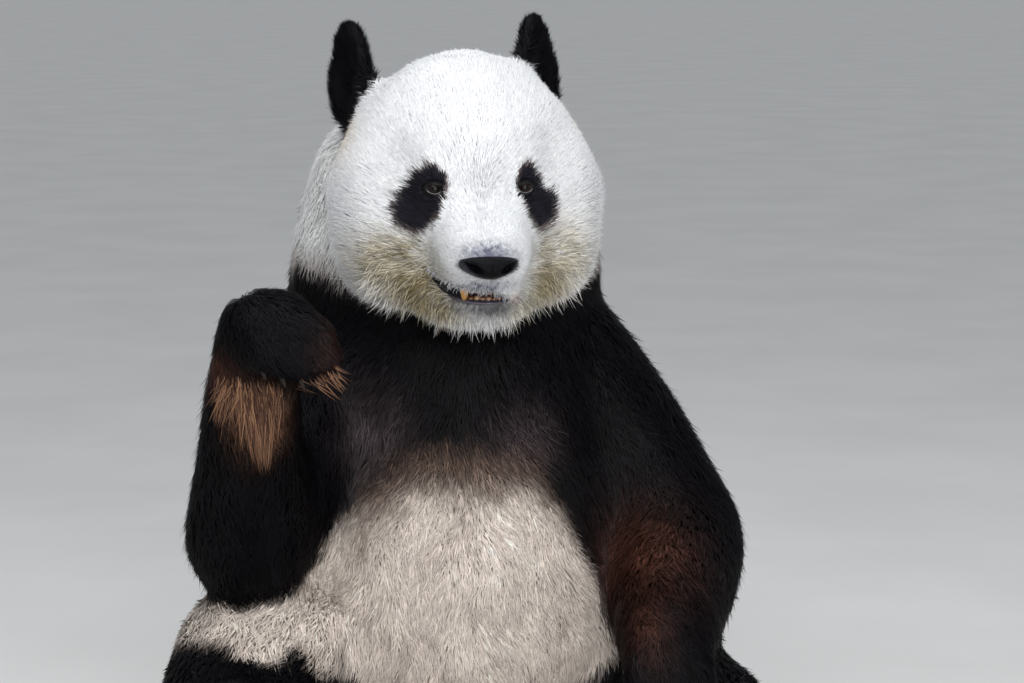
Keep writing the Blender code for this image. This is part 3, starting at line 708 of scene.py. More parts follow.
def smooth_line(stops, across):
    """A line through the stops, at these places across, rounded by averaging over 6 mm."""
    stops = np.array(stops)
    shifts = np.linspace(-0.003, 0.003, 9)
    spread = np.clip(across[:, None] + shifts, stops[0, 0], stops[-1, 0])
    return np.interp(spread, stops[:, 0], stops[:, 1]).mean(axis=1)


def there_and_back(there, back):
    """A closed loop: along the first row from end to end, and back along the second."""
    return np.concatenate([there, back[-2:0:-1]])


mouth_left, mouth_right = UPPER_LIP[0][0], UPPER_LIP[-1][0]
lip_middle = (mouth_left + mouth_right) / 2
mouth_centre = np.array((lip_middle, 0.0, MOUTH_UP))
swing = np.linspace(0, math.pi, 64)
lip_across = lip_middle - (mouth_right - mouth_left) / 2 * np.cos(swing)
upper_up, lower_up = smooth_line(UPPER_LIP, lip_across), smooth_line(LOWER_LIP, lip_across)
middle_up = (upper_up + lower_up) / 2
opening = smoothstep(0, 0.25, np.sin(swing))  # closes at both corners
upper_up, lower_up = between(middle_up, upper_up, opening), between(middle_up, lower_up, opening)
loop_across = there_and_back(lip_across, lip_across)
loop_up = there_and_back(upper_up, lower_up)
is_upper = there_and_back(np.ones(len(swing)), np.zeros(len(swing)))
swell = there_and_back(np.sin(swing), np.sin(swing))
band = np.where(is_upper > 0, UPPER_BAND, -between(CORNER_BAND, LOWER_BAND, swell))
past_corner = np.sign(loop_across - lip_middle) * (1 - swell / 0.4)
band_across = loop_across + CORNER_SPREAD * np.where(swell < 0.4, past_corner, 0)
band_up = loop_up + band * np.maximum(swell, 0.15)
tops, lip_tints = [], []
for share, lift, step_in in LIP_RINGS:
    ring_across, ring_up = between(loop_across, band_across, share), between(loop_up, band_up, share)
    spots, ups = cast_from_front(ring_across, ring_up, whole_tree)
    inward = (mouth_centre - spots) * (1, 0, 1) * step_in
    tops.append(spots + ups * lift + inward)
    tone = noise_at(spots, 0.004, 12) * 0.6 + (0.5 if 0.1 < share < 0.9 else 0.1)  # dark at the edges
    tone = tone * np.where(is_upper > 0, 0.4, 1.0) * smoothstep(-0.041, -0.027, loop_across)
    lip_tints.append(between(LIP_COLOUR, LIP_LIGHT, tone[:, None]))
tops, lip_tints = np.array(tops), np.array(lip_tints)
lip_rings = np.concatenate([tops, (tops + (0, LIP_THICK, 0))[::-1]])
lip_finish = bare_finish("lip_finish", 0.34, 0.5, 700, 0.0007)
lips = piece_from(lofted("lips", lip_rings, np.concatenate([lip_tints, lip_tints[::-1]]), True), lip_finish)
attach(lips, "root")

lip_edge = tops[LIP_EDGE_RING]
cave = [lip_edge + (0, 0.0035, 0)]
for shrink, sink in CAVE_RINGS:
    ring = mouth_centre + (lip_edge - mouth_centre) * (shrink, 1, shrink)
    ring[:, 1] = ring[:, 1] * shrink + (1 - shrink) * lip_edge[:, 1].min() + sink
    cave.append(ring)
cave = np.array(cave)
wall = (0, LINING_THICK, 0)
pole = np.broadcast_to(cave[-1].mean(axis=0), cave[-1:].shape)
cave_rings = np.concatenate([pole, cave[::-1][1:], (cave + wall)[:-1], pole + wall])
# the lining painted as the shade inside the mouth
cave_shade_tints = np.tile(CAVE_SHADE_RED, cave_rings.shape[:2] + (1,))
lining = piece_from(lofted("mouth_lining", cave_rings, cave_shade_tints), lip_finish)
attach(lining, "root")


def crown_rings(foot, height, half_wide, half_deep, lean):
    """A tooth: ovals up its height that narrow as the square root of what is left, and lean."""
    canine = abs(height) > CANINE_HEIGHT
    share = np.linspace(0, 1, 12)[:, None]
    turn = once_round(16)[None, :]
    narrowing = np.sqrt(np.clip(1 - share ** (3.0 if canine else 9.0), 0, 1))
    waist = narrowing * (1 - (0.18 if canine else 0.08) * share)
    x = foot[0] + half_wide * waist * np.cos(turn) + lean * height * share**1.5
    y = foot[1] + half_deep * waist * np.sin(turn) + 0.10 * abs(height) * share**1.5
    z = foot[2] + height * share + 0 * turn
    rings = np.stack([x, y, z], -1)
    return np.concatenate([np.broadcast_to(rings[0].mean(axis=0), rings[0].shape)[None], rings])


def joined(name, meshes):
    """One mesh that takes in all the meshes, which are then removed."""
    work = bmesh.new()
    for mesh in meshes:
        work.from_mesh(mesh)
        bpy.data.meshes.remove(mesh)
    whole = bpy.data.meshes.new(name)
    work.to_mesh(whole)
    work.free()
    whole.shade_smooth()
    return whole


tooth_meshes = []
for place_across, height, half_wide, half_deep, lean, colour in TEETH:
    is_lower = height > 0
    gum_line, buried = (lower_up, -0.0015) if is_lower else (upper_up, 0.0020)
    foot_up = float(np.interp(place_across, lip_across, gum_line)) + buried
    near = np.argmin(np.hypot(lip_edge[:, 0] - place_across, lip_edge[:, 2] - foot_up))
    set_back = 0.0075 if -CANINE_HEIGHT < height < 0 else 0.0050
    foot = (place_across, lip_edge[near, 1] + set_back, foot_up)
    rings = crown_rings(foot, height, half_wide, half_deep, lean)
    rise = np.linspace(0, 1, len(rings))[:, None, None]
    fade = 0.50 + 0.60 * rise if is_lower else 1.15 - 0.55 * rise
    tooth_meshes.append(lofted("tooth", rings, np.broadcast_to(np.array(colour) * fade, rings.shape)))
teeth = piece_from(joined("teeth", tooth_meshes), bare_finish("tooth_finish", 0.28, 0.5, 500, 0.0003))
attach(teeth, "root")

tilt = np.linspace(0, math.pi, 24)[:, None]
turn = once_round(40)[None, :]
near = np.argmin(np.hypot(lip_edge[:, 0], lip_edge[:, 2] - 0.641))
sideways = np.sin(tilt) * np.cos(turn)
groove = TONGUE_GROOVE * np.exp(-((sideways / 0.12) ** 2))
tongue_rings = np.stack([
    TONGUE_MIDDLE[0] + TONGUE_HALF[0] * sideways,
    lip_edge[near, 1] + TONGUE_MIDDLE[1] + TONGUE_HALF[1] * np.cos(tilt) + 0 * turn,
    TONGUE_MIDDLE[2] + TONGUE_HALF[2] * np.sin(tilt) * np.sin(turn) - groove,
], -1)
tongue_tints = np.tile(TONGUE_RED, tongue_rings.shape[:2] + (1,))
tongue = piece_from(lofted("tongue", tongue_rings, tongue_tints), lip_finish)
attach(tongue, "root")

inside_across = (points[:, 0] > mouth_left) & (points[:, 0] < mouth_right) & (points[:, 1] < -0.36)
below_upper = np.interp(points[:, 0], lip_across, upper_up) - points[:, 2]
above_lower = points[:, 2] - np.interp(points[:, 0], lip_across, lower_up)
gap = np.where(inside_across, np.minimum(below_upper, above_lower), -1)
points[:, 1] += MOUTH_SINK * smoothstep(-0.0012, 0.0022, gap)
lip_shown = LOWER_BAND * 0.62 * smoothstep(-0.046, -0.028, points[:, 0])
lip_cover = np.where(inside_across, np.minimum(below_upper + UPPER_BAND * 0.3, above_lower + lip_shown), -1)
bare = np.where(lip_cover > 0, 1.0, bare)

# ---- The pads and claws ---------------------------------------------------------------------------
# Bare dark pads of rough skin sit on the hide, and the hair stops round them: one under each toe, a
# broad one across the sole, and on the forefeet the heel pad and the false thumb. A curved horn claw
# grows from each toe, its root under the hair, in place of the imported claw.
PAWS = {  # the way the toes point, the way the sole faces, the middle of the palm, half its width
    "right_forepaw": ((0.30, -0.15, -0.94), (-0.10, 0.95, -0.20), (-0.254, -0.398, 0.616), 0.060),
    "left_forepaw": ((-0.02, -0.45, -0.89), (0.00, 0.89, -0.45), (0.228, -0.385, 0.206), 0.060),
    "right_hind_foot": ((-0.10, -0.15, 1.00), (0.00, -1.00, 0.00), (-0.260, -0.558, 0.108), 0.055),
    "left_hind_foot": ((0.08, -0.15, 1.00), (0.00, -1.00, 0.00), (0.262, -0.555, 0.106), 0.055),
}
PAW_MEASURES = {  # how far a toe pad lies behind its claw, its share of the way inward, hair's growth
    "forepaw": (0.014, 0.0, 0.75), "hind_foot": (0.028, 0.20, 0.35),
}
TOE_PAD = (0.0115, 0.0088, 0.0085)  # half length, half width, height
PALM_AHEAD, PALM_PAD = 0.012, (0.0170, 0.80, 0.0090)  # half width as a share of the palm's
HEEL_PADS = (  # ahead, share of the palm's half width aside, half length, half width, height
    (-0.030, -0.55, 0.0120, 0.0130, 0.0085), (-0.026, 0.55, 0.0120, 0.0100, 0.0085),
)
PAD_THICK = 0.0035
PAD_COLOUR, PAD_LIGHT = (0.010, 0.009, 0.009), (0.032, 0.027, 0.026)
PAD_REACH = 0.05  # how far from its plane a pad can lie on the hide
CLAW_WIDTH, CLAW_BACK = 0.0100, 0.006  # width at the root, and how far the root runs under the hair
CLAW_BEND, CLAW_FLATNESS = 0.62, 0.72
CLAW_DARK, CLAW_PALE = (0.010, 0.008, 0.008), (0.036, 0.028, 0.024)
CLAW_HAIR_REACH = 0.024  # round each claw, where the hair is longer


def pad_rings(middle, toward, sideways, sole, half_long, half_wide, height):
    """A low dome on the hide: rings of an oval, raised by (1 - share^3)^0.6, with a sunk rim."""
    turn = once_round(28)[None, :, None]
    share = np.linspace(0, 1, 10)[:, None, None]
    flat = middle + share * (toward * half_long * np.cos(turn) + sideways * half_wide * np.sin(turn))
    spots, _ = cast((flat + sole * 0.06).reshape(-1, 3), -sole, pad_tree)
    on_hide = spots.reshape(flat.shape)
    top = on_hide + sole * (height * (1 - share**3) ** 0.6 + 0.0012 - 0.0030 * share**6)
    return np.concatenate([top, on_hide[::-1] - sole * PAD_THICK])


def claw_rings(back, tip, toward, sideways, sole):
    """A claw: ovals along a bend from the root's back to the tip, narrowing as what is left^0.62."""
    share = np.linspace(0, 1, 18)[:, None, None]
    turn = once_round(14)[None, :, None]
    bend = back + toward * np.linalg.norm(tip - back) * CLAW_BEND
    line = (1 - share) ** 2 * back + 2 * share * (1 - share) * bend + share**2 * tip
    half = CLAW_WIDTH / 2 * np.clip(1 - share, 0, 1) ** 0.62
    rings = line + half * (sideways * CLAW_FLATNESS * np.cos(turn) + sole * np.sin(turn))
    return np.concatenate([np.broadcast_to(back, rings[:1].shape), rings])


pad_tree = tree_of(points, faces)
pad_finish = bare_finish("pad_finish", 0.60, 0.20, 380, 0.0016)
claw_finish = bare_finish("claw_finish", 0.42, 0.25, 260, 0.0004)
for paw, (toward, sole, palm, half_palm) in PAWS.items():
    pad_back, pad_inward, longer = PAW_MEASURES[paw.split("_", 1)[1]]
    toward, sole, palm = unit(np.array(toward)), unit(np.array(sole)), np.array(palm)
    sideways = unit(np.cross(toward, sole))
    sole = unit(np.cross(sideways, toward))
    pads = []
    for number in range(1, 6):
        claw_name = f"{paw}_claw_{number}"
        horn, _ = arrays_of(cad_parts[claw_name].data)
        reach = (horn - horn.mean(axis=0)) @ toward
        tip, root = horn[reach.argmax()], horn[reach < reach.min() + 0.002].mean(axis=0)
        rings = claw_rings(root - toward * CLAW_BACK, tip, toward, sideways, sole)
        streaks = noise_on(rings @ np.stack([sideways, sole, toward * 0.1], 1), 0.0012, 14)
        paler = np.linspace(0, 1, len(rings))[:, None, None] ** 1.5
        paler = np.clip(paler * 0.8 + 0.4 * (streaks - 0.5), 0, 1)
        claw = piece_from(
            lofted(f"{claw_name}_horn", rings, between(CLAW_DARK, CLAW_PALE, paler)), claw_finish
        )
        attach(claw, "root")
        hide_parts(claw_name)
        inward = sideways * ((palm - root) @ sideways) * pad_inward
        pads.append((root + inward - toward * pad_back, *TOE_PAD))
        near_claw = np.exp(-(np.linalg.norm(points - root + sole * 0.012, axis=1) / CLAW_HAIR_REACH) ** 2)
        coat[:, LENGTH] *= 1 + longer * near_claw
    pads.append((palm + toward * PALM_AHEAD, PALM_PAD[0], half_palm * PALM_PAD[1], PALM_PAD[2]))
    if "forepaw" in paw:
        for ahead, across, half_long, half_wide, height in HEEL_PADS:
            heel = palm + toward * ahead + sideways * half_palm * across
            pads.append((heel, half_long, half_wide, height))
    pad_meshes = []
    for middle, half_long, half_wide, height in pads:
        rings = pad_rings(middle, toward, sideways, sole, half_long, half_wide, height)
        if np.ptp(rings @ sole) > PAD_REACH:  # nothing to rest on there
            continue
        tone = noise_on(rings, 0.006, 13)
        pad_meshes.append(lofted("pad", rings, between(PAD_COLOUR, PAD_LIGHT, tone**2)))
        off = points - middle
        cover = np.hypot(off @ toward / half_long, off @ sideways / half_wide)
        beside = np.abs(off @ sole) < PAD_REACH
        shorter = 0.40 + 0.60 * smoothstep(1.0, 2.2, cover)
        coat[:, LENGTH] *= np.where(beside & (off @ sole > -0.004), shorter, 1)
        bare = np.where((cover < 0.80) & beside & (off @ sole > 0), 1.0, bare)
    soles = piece_from(joined(f"{paw}_pads", pad_meshes), pad_finish)
    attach(soles, "root")

# ---- The markings ---------------------------------------------------------------------------------
# A white head, a cream back and a belly of greyed pink beige; black ears, eye patches, shoulder belt
# and limbs. Juice and dust stain the cheeks, the rims below the ears, the wrist and the left forearm.
# The darker stains along the muzzle, low on the cheeks and under the lower lip are partly painted shade;
# the body's black is set as dark as black fur in shade, and the eye patches' black carries a painted sheen.
WHITE, BACK, BELLY = (0.885, 0.895, 0.915), (0.74, 0.70, 0.63), (0.76, 0.66, 0.58)
BELLY_SHADOW, BELLY_STREAK = (0.50, 0.42, 0.37), (0.20, 0.155, 0.130)
NECK_WHITE, NECK_BLEND = (0.88, 0.88, 0.87), (0.30, 0.25, 0.23)
# Black fur, set as dark as black fur lying in shade over the chest: its own black with painted shade.
BLACK_AND_SHADE = (0.0022, 0.0019, 0.0030)
# The eye patches' black, painted lighter and bluer than the body's: a painted sheen. Then the patches'
# brownish rim.
PATCH_BLACK_AND_SHEEN, PATCH_RIM = (0.0070, 0.0064, 0.0115), (0.110, 0.085, 0.080)
NOSE_SKIN, LIP_SKIN = (0.060, 0.057, 0.065), (0.070, 0.060, 0.064)
TAN = (0.42, 0.34, 0.19)
# olive: stain together with painted shade, along the muzzle's edge and low on the cheeks
OLIVE_STAIN_AND_SHADE = (0.17, 0.135, 0.060)
CREAM = (0.74, 0.60, 0.42)
# slate: darker hair together with painted shade under the lower lip
SLATE_HAIR_AND_SHADE = (0.060, 0.060, 0.064)
SOOT = (0.120, 0.125, 0.180)
ASH = (0.46, 0.46, 0.49)
UMBER = (0.072, 0.030, 0.021)
DUSK = (0.062, 0.048, 0.052)
OCHRE = (0.290, 0.150, 0.085)
FAWN = (0.120, 0.080, 0.060)
HEAD_STAINS = (  # centre, radii, colour, strength, and how much the strength breaks up
    ((-0.098, -0.330, 0.684), (0.052, 0.090, 0.034), TAN, 0.80, 0.6),
    ((-0.074, -0.360, 0.652), (0.036, 0.070, 0.034), TAN, 1.00, 0.3),
    # olive marks on the animal's right: stain and painted shade along the muzzle's edge and low on the cheek
    ((-0.084, -0.335, 0.699), (0.022, 0.060, 0.014), OLIVE_STAIN_AND_SHADE, 0.60, 0.7),
    ((-0.076, -0.355, 0.650), (0.024, 0.060, 0.022), OLIVE_STAIN_AND_SHADE, 0.70, 0.7),
    ((-0.066, -0.375, 0.634), (0.030, 0.060, 0.014), OLIVE_STAIN_AND_SHADE, 0.95, 0.6),
    ((-0.048, -0.375, 0.628), (0.034, 0.060, 0.020), TAN, 0.70, 0.5),
    ((0.104, -0.320, 0.688), (0.040, 0.090, 0.042), TAN, 0.62, 0.6),
    ((0.078, -0.350, 0.652), (0.034, 0.080, 0.036), TAN, 0.90, 0.4),
    # olive marks on the animal's left: stain and painted shade along the muzzle's edge and low on the cheek
    ((0.073, -0.365, 0.690), (0.010, 0.050, 0.040), OLIVE_STAIN_AND_SHADE, 0.55, 0.8),
    ((0.082, -0.350, 0.664), (0.026, 0.060, 0.010), OLIVE_STAIN_AND_SHADE, 0.50, 0.9),
    ((0.076, -0.350, 0.645), (0.022, 0.060, 0.016), OLIVE_STAIN_AND_SHADE, 0.60, 0.9),
    ((0.046, -0.385, 0.628), (0.030, 0.060, 0.020), TAN, 0.60, 0.5),
    ((0.034, -0.420, 0.645), (0.010, 0.030, 0.008), OCHRE, 0.55, 0.6),
    ((-0.143, -0.215, 0.830), (0.018, 0.060, 0.040), CREAM, 0.80, 0.3),
    ((0.134, -0.215, 0.850), (0.016, 0.050, 0.028), CREAM, 0.80, 0.3),
    ((-0.003, -0.465, 0.7030), (0.038, 0.030, 0.0125), SOOT, 0.95, 0.35),
    ((-0.003, -0.455, 0.6625), (0.040, 0.030, 0.0080), SOOT, 0.95, 0.55),
    # under the lower lip: darker hair and painted shade
    ((-0.006, -0.440, 0.6350), (0.036, 0.030, 0.0110), SLATE_HAIR_AND_SHADE, 1.00, 0.25),
    ((-0.030, -0.430, 0.6400), (0.016, 0.030, 0.0090), SLATE_HAIR_AND_SHADE, 0.70, 0.5),
    ((0.016, -0.430, 0.6370), (0.016, 0.030, 0.0090), SLATE_HAIR_AND_SHADE, 0.70, 0.5),
    ((0.000, -0.395, 0.762), (0.018, 0.080, 0.046), ASH, 0.38, 0.9),
)
BODY_STAINS = (
    ((-0.105, -0.280, 0.460), (0.042, 0.200, 0.050), DUSK, 0.90, 0.6),
    ((0.070, -0.280, 0.452), (0.040, 0.200, 0.040), DUSK, 0.85, 0.6),
    ((0.000, -0.280, 0.428), (0.070, 0.200, 0.018), FAWN, 0.45, 0.7),
    ((0.225, -0.260, 0.300), (0.052, 0.100, 0.058), UMBER, 0.90, 0.6),
    ((0.205, -0.380, 0.235), (0.022, 0.060, 0.040), UMBER, 0.60, 0.5),
    ((-0.192, -0.400, 0.590), (0.016, 0.060, 0.028), UMBER, 0.60, 0.5),
    ((-0.310, -0.380, 0.565), (0.020, 0.050, 0.022), UMBER, 0.80, 0.3),
    ((-0.264, -0.400, 0.510), (0.036, 0.035, 0.036), OCHRE, 0.35, 0.6),
)
PATCH_CENTRE, PATCH_TILT, PATCH_LONG = (0.0645, 0.7562), math.radians(16), 0.0418
PATCH_ROUNDNESS = 2.3  # 2 is an ellipse, more is fuller
PATCH_SIDES = {-1: (0.0275, 0.0205, 0.0205), 1: (0.0245, 0.0140, 0.0175)}  # outer low and high, inner
BELT_FOOT_BEHIND, BELT_FOOT_FRONT = 0.462, 0.400  # heights of the black belt's edges
BELT_TOP_FRONT, BELT_TOP_RISE = 0.602, 0.056
DROOP_RIGHT, DROOP_LEFT = (0.055, 0.45, 2.2), (0.060, 0.12)  # where its foot starts to hang, how fast
HIPS = {"right": (-0.105, 0.045, 0.170), "left": (0.105, 0.045, 0.165)}
KNEES = {"right": (-0.306, -0.335, 0.116), "left": (0.298, -0.315, 0.090)}
LIMBS = ("upper_arm", "forearm", "forepaw", "shin", "hind_foot", "ear")


def tinted(colours, share, colour):
    """Each colour moved that share of the way to another."""
    return colours + np.clip(share, 0, 1)[:, None] * (np.asarray(colour) - colours)


def stained(colours, points, stains):
    """Adds soft oval stains: a bell curve of the distance over the radii, broken up by noise."""
    speckle = noise_at(points, 0.0035, 5)
    for centre, radii, colour, strength, broken in stains:
        bell = np.exp(-np.sum(((points - centre) / radii) ** 2, axis=1))
        colours = tinted(colours, bell * strength * (1 - broken + 2 * broken * speckle), colour)
    return colours


def patch_depth(points):
    """How far inside an eye patch a point lies: 1 at its middle, 0 at its edge, less outside."""
    side = np.sign(points[:, 0])
    across = side * points[:, 0] - PATCH_CENTRE[0]
    up = points[:, 2] - PATCH_CENTRE[1]
    along = up * math.cos(PATCH_TILT) - across * math.sin(PATCH_TILT)
    aside = across * math.cos(PATCH_TILT) + up * math.sin(PATCH_TILT)
    power = PATCH_ROUNDNESS
    reach = np.zeros(len(points))
    for sign, (outer_low, outer_high, inner) in PATCH_SIDES.items():
        outer = between(outer_low, outer_high, smoothstep(-0.010, 0.012, along))
        wide = np.where(aside > 0, outer, inner)
        oval = (np.abs(along / PATCH_LONG) ** power + np.abs(aside / wide) ** power) ** (1 / power)
        reach = np.where(side == sign, oval, reach)
    return np.where(points[:, 1] < -0.29, 1 - reach, -FAR)


def trunk_marks(points, height, front):
    """The trunk's pale colours, and how far each point lies in the black belt and in its lower fringe.
    The belt's foot hangs lower in front than behind, and lower again at either side of the belly."""
    x, y, _ = points.T
    colours = np.tile(BACK, (len(points), 1)) * (0.94 + 0.12 * noise_at(points, 0.022, 3)[:, None])
    colours = tinted(colours, front, BELLY)
    streaks = noise_at(points * (1, 1, 0.35), 0.006, 4)
    shadowy = smoothstep(0.35, 0.85, noise_at(points * (1, 1, 0.6), 0.040, 7))
    colours = tinted(colours, front * 0.45 * shadowy, BELLY_SHADOW)
    streaked = front * (0.35 + 0.55 * shadowy) * smoothstep(0.56, 0.88, streaks)
    colours = tinted(colours, streaked, BELLY_STREAK)
    to_right = np.clip(-x - DROOP_RIGHT[0], 0, 0.2)
    to_left = np.clip(x - DROOP_LEFT[0], 0, 0.12) / 0.09
    droop = DROOP_RIGHT[1] * to_right + DROOP_RIGHT[2] * to_right**2 + DROOP_LEFT[1] * to_left**1.5
    foot = BELT_FOOT_BEHIND + front * (BELT_FOOT_FRONT - droop - BELT_FOOT_BEHIND)
    top = BELT_TOP_FRONT + BELT_TOP_RISE * smoothstep(-0.30, -0.08, y)
    above = smoothstep(top - 0.006, top + 0.010, height)
    belt = smoothstep(foot - 0.016, foot + 0.030, height) * (1 - above)
    fringe = smoothstep(foot - 0.030, foot, height)
    fringe = fringe * (1 - smoothstep(foot + 0.012, foot + 0.055, height)) * front
    colours = tinted(colours, above, NECK_WHITE)
    colours = tinted(colours, 0.8 * above * smoothstep(top + 0.040, top + 0.004, height), NECK_BLEND)
    return colours, belt, fringe


def knee_share(points, side):
    """How far along the thigh each point lies: 0 at the hip, 1 at the knee, and more when low down."""
    hip, knee = np.array(HIPS[side]), np.array(KNEES[side])
    down = knee - hip
    return (points - hip) @ down / (down @ down) + np.clip((0.190 - points[:, 2]) * 6, -0.3, 0.25)


def markings(points, names):
    """The colour of the coat at each point of a node."""
    kinds = kinds_of(names)
    wavy = noise_at(points, 0.030, 1) - 0.5
    ragged = noise_at(points, 0.008, 2) - 0.5
    front = 1 - smoothstep(-0.18, 0.10, points[:, 1])
    trunk, belt, fringe = trunk_marks(points, points[:, 2] + 0.022 * wavy + 0.010 * ragged, front)
    dark = np.where(np.isin(kinds, ("chest", "abdomen", "neck")), belt, 0)
    for side in ("right", "left"):
        own = np.char.startswith(names, side) & (kinds == "thigh")
        dark = np.where(own, smoothstep(0.74, 0.92, knee_share(points, side) + 0.35 * wavy), dark)
    dark = np.where(np.isin(kinds, LIMBS), 1.0, dark)
    colours = tinted(trunk, dark, BLACK_AND_SHADE)
    fringed = fringe * np.isin(kinds, ("chest", "abdomen"))
    colours = tinted(colours, 0.75 * fringed * smoothstep(0.16, 0.07, np.abs(points[:, 0] + 0.01)), FAWN)
    clean = np.isin(kinds, ("abdomen", "thigh")) & (dark < 0.5)
    colours = np.where(clean[:, None], colours, stained(colours, points, BODY_STAINS))
    head = np.tile(WHITE, (len(points), 1)) * (1 - 0.05 * noise_at(points, 0.022, 3)[:, None])
    head = stained(head, points, HEAD_STAINS)
    inside = patch_depth(points) + 0.24 * ragged + 0.10 * wavy
    head = tinted(head, smoothstep(-0.16, 0.06, inside), PATCH_RIM)
    # the eye patches' black, painted lighter and bluer: a painted sheen
    head = tinted(head, smoothstep(-0.02, 0.16, inside), PATCH_BLACK_AND_SHEEN)
    return np.where(np.isin(kinds, HEAD_KINDS)[:, None], head, colours)


hide_colours = relaxed(markings(points, node_names), pairs, 1)
near_nose = smoothstep(1.07, 0.99, under_nose) * (points[:, 1] < -0.43)
hide_colours = tinted(hide_colours, 0.75 * near_nose, NOSE_SKIN)
near_lips = smoothstep(-0.0050, 0.0010, lip_cover) * inside_across
hide_colours = tinted(hide_colours, 0.80 * near_lips, LIP_SKIN)

# ---- The hide's own piece -------------------------------------------------------------------------
# The hide now has its sockets, nose bed, mouth and markings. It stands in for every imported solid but
# the eyes, the nose and the claws, and shows only where the tufts part over it.


def coat_finish(name, roughness, specular, bump_depth):
    """Hair: the colour stored with the coat, flecked by fine noise, with a dull sheen."""
    material, tree, shader, place = finish_of(name, (0.5, 0.5, 0.5), roughness, specular)
    fleck = grain(tree, place, 420, 2)
    lighter = blend_colours(tree, fleck, (0.92, 0.92, 0.92), (1.05, 1.05, 1.05), 0.3, 0.7)
    mix = tree.nodes.new("ShaderNodeMix")
    mix.data_type = "RGBA"
    mix.blend_type = "MULTIPLY"
    mix.inputs[0].default_value = 1
    tree.links.new(stored_colour(tree), mix.inputs[6])
    tree.links.new(lighter, mix.inputs[7])
    tree.links.new(mix.outputs[2], shader.inputs["Base Color"])
    raise_surface(tree, shader, fleck, bump_depth)
    return material


moved(hide_mesh, points)
hide_mesh.name = "hide"
coloured(hide_mesh, hide_colours)
hide = piece_from(hide_mesh, coat_finish("hide_finish", 0.8, 0.2, 0.002))
hide_mesh.shade_smooth()
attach(hide, "root")
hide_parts(*[name for name in flesh if "_eye" not in name and name != "nose_pad"])

# ---- The coat -------------------------------------------------------------------------------------
# Coarse dense hair in solid tufts. It parts at the nose and runs back over the head, down the trunk,
# along the limbs to the toes and up the ears; tufts lie over one another and gather at their tips.
CLUMP = 13  # tufts that gather to one tip
GROUND = 0.0006  # the lowest a tuft reaches
MID_SHARE = 0.42  # where along its length a tuft is widest
LENGTH_LEAST, LENGTH_MORE = 0.70, 0.55  # of the coat's own length, the second by chance
WIDTH_LEAST, WIDTH_MORE = 0.75, 0.50
MID_LEAST, MID_MORE = 0.32, 0.40  # how far the middles stand off, in depths of the coat
TIP_STAND, TIP_RANGES = 0.92, (0.24, 0.40)  # how far the tips do, where the coat is tidy and elsewhere
RISEN, RISEN_MORE = 0.05, (0.35, 0.55)  # the share of tufts that stand up, and by how much
SCATTER_FACE, SCATTER_RUFF, SCATTER_BODY = 0.20, 0.14, 0.30  # how far tufts turn aside
STRAYS, STRAY_LENGTH = 0.10, 0.70  # the share of long hairs on the ruff, and how much longer
GATHER_FACE, GATHER_BODY, GATHER_REACH = 0.35, 0.55, 0.8  # pull of a clump, and its reach in lengths
ROOT_DEPTH = 0.0010  # how far the roots lie in the hide
SPARSER, WIDER = 0.55, 0.75  # behind, where fewer and broader tufts cover the hide
BEHIND = (-0.06, 0.10)  # over this stretch from front to back the tufts grow sparser
WIDER_BEHIND = (-0.10, 0.08)  # and over this one wider
RUFF_STAND, EAR_STAND = (0.15, 0.75, 3), (0.20, 0.90, 2)  # least, more by chance, and its power
LIE_ROUNDS, PARTING = 18, 2.2  # smoothing of the lie, and how strongly it turns away from the eyes
EYE_SHORT, EYE_SHORT_REACH = 0.45, (1.0, 2.2)  # share of its length beside the lids, and up to where
SWIRLS, HEAD_CALM = ((0.060, 8, 1.1), (0.022, 9, 0.8)), 0.45  # size, seed and strength; less on the head
PALE_TONE, DARK_TONE, STAIN_TONE, GREY_TONE = 0.045, 0.30, 0.35, 0.40  # how far the tufts' tones differ
CLUMP_TONE, TONE_RANGE, BRIGHTEST = 0.8, (0.45, 1.9), 0.92
BROWNING = (0.10, 0.02, 0)  # how far a black tuft may turn brown
FACE_KINDS = ("head", "lower_jaw")
TIDY_KINDS = ("head", "lower_jaw", "abdomen", "thigh")
HAIR_WAYS = {  # the way the hair lies on each node, before it is laid along the hide
    "right_upper_arm": (-0.30, -0.45, -0.90), "left_upper_arm": (0.30, -0.30, -1.00),
    "right_forearm": (0.15, 0.00, -1.00), "left_forearm": (-0.15, -0.55, -0.55),
    "right_forepaw": (0.42, -0.10, -0.94), "left_forepaw": (-0.02, -0.45, -0.89),
    "right_thigh": (-0.50, -0.95, -0.45), "left_thigh": (0.50, -0.90, -0.48),
    "right_shin": (0.25, -0.90, -0.30), "left_shin": (-0.20, -0.93, -0.25),
    "right_hind_foot": (-0.10, -0.15, 1.00), "left_hind_foot": (0.08, -0.15, 1.00),
    "right_ear": (-0.18, 0.10, 1.00), "left_ear": (0.18, 0.10, 1.00), "tail": (0.00, 0.35, -0.80),
}


def hair_way(points, names):
    """The way the hair lies: away from the nose on the head, down the back of it, fanning out down the
    trunk, and as listed for the rest."""
    ways = unit(points - NOSE)
    ways[:, 2] -= 1.6 * smoothstep(-0.30, -0.15, points[:, 1])
    trunk = np.isin(names, ("neck", "chest", "abdomen"))
    fan = np.stack([points[:, 0] * 1.6, np.zeros(len(points)), -np.ones(len(points))], 1)
    ways = np.where(trunk[:, None], unit(fan), ways)
    for name, way in HAIR_WAYS.items():
        ways = np.where((names == name)[:, None], unit(np.array(way)), ways)
    return ways


def laid_along(vectors, normals):
    """The vectors with the part along the normals taken out, each at length 1."""
    return unit(vectors - np.sum(vectors * normals, axis=1, keepdims=True) * normals)


def sown(weights, random):
    """Triangle numbers for the roots: one for each whole step of the running total of the weights."""
    total = np.cumsum(weights)
    steps = np.arange(int(total[-1])) + random.random(int(total[-1]))
    return np.minimum(np.searchsorted(total, steps), len(weights) - 1)


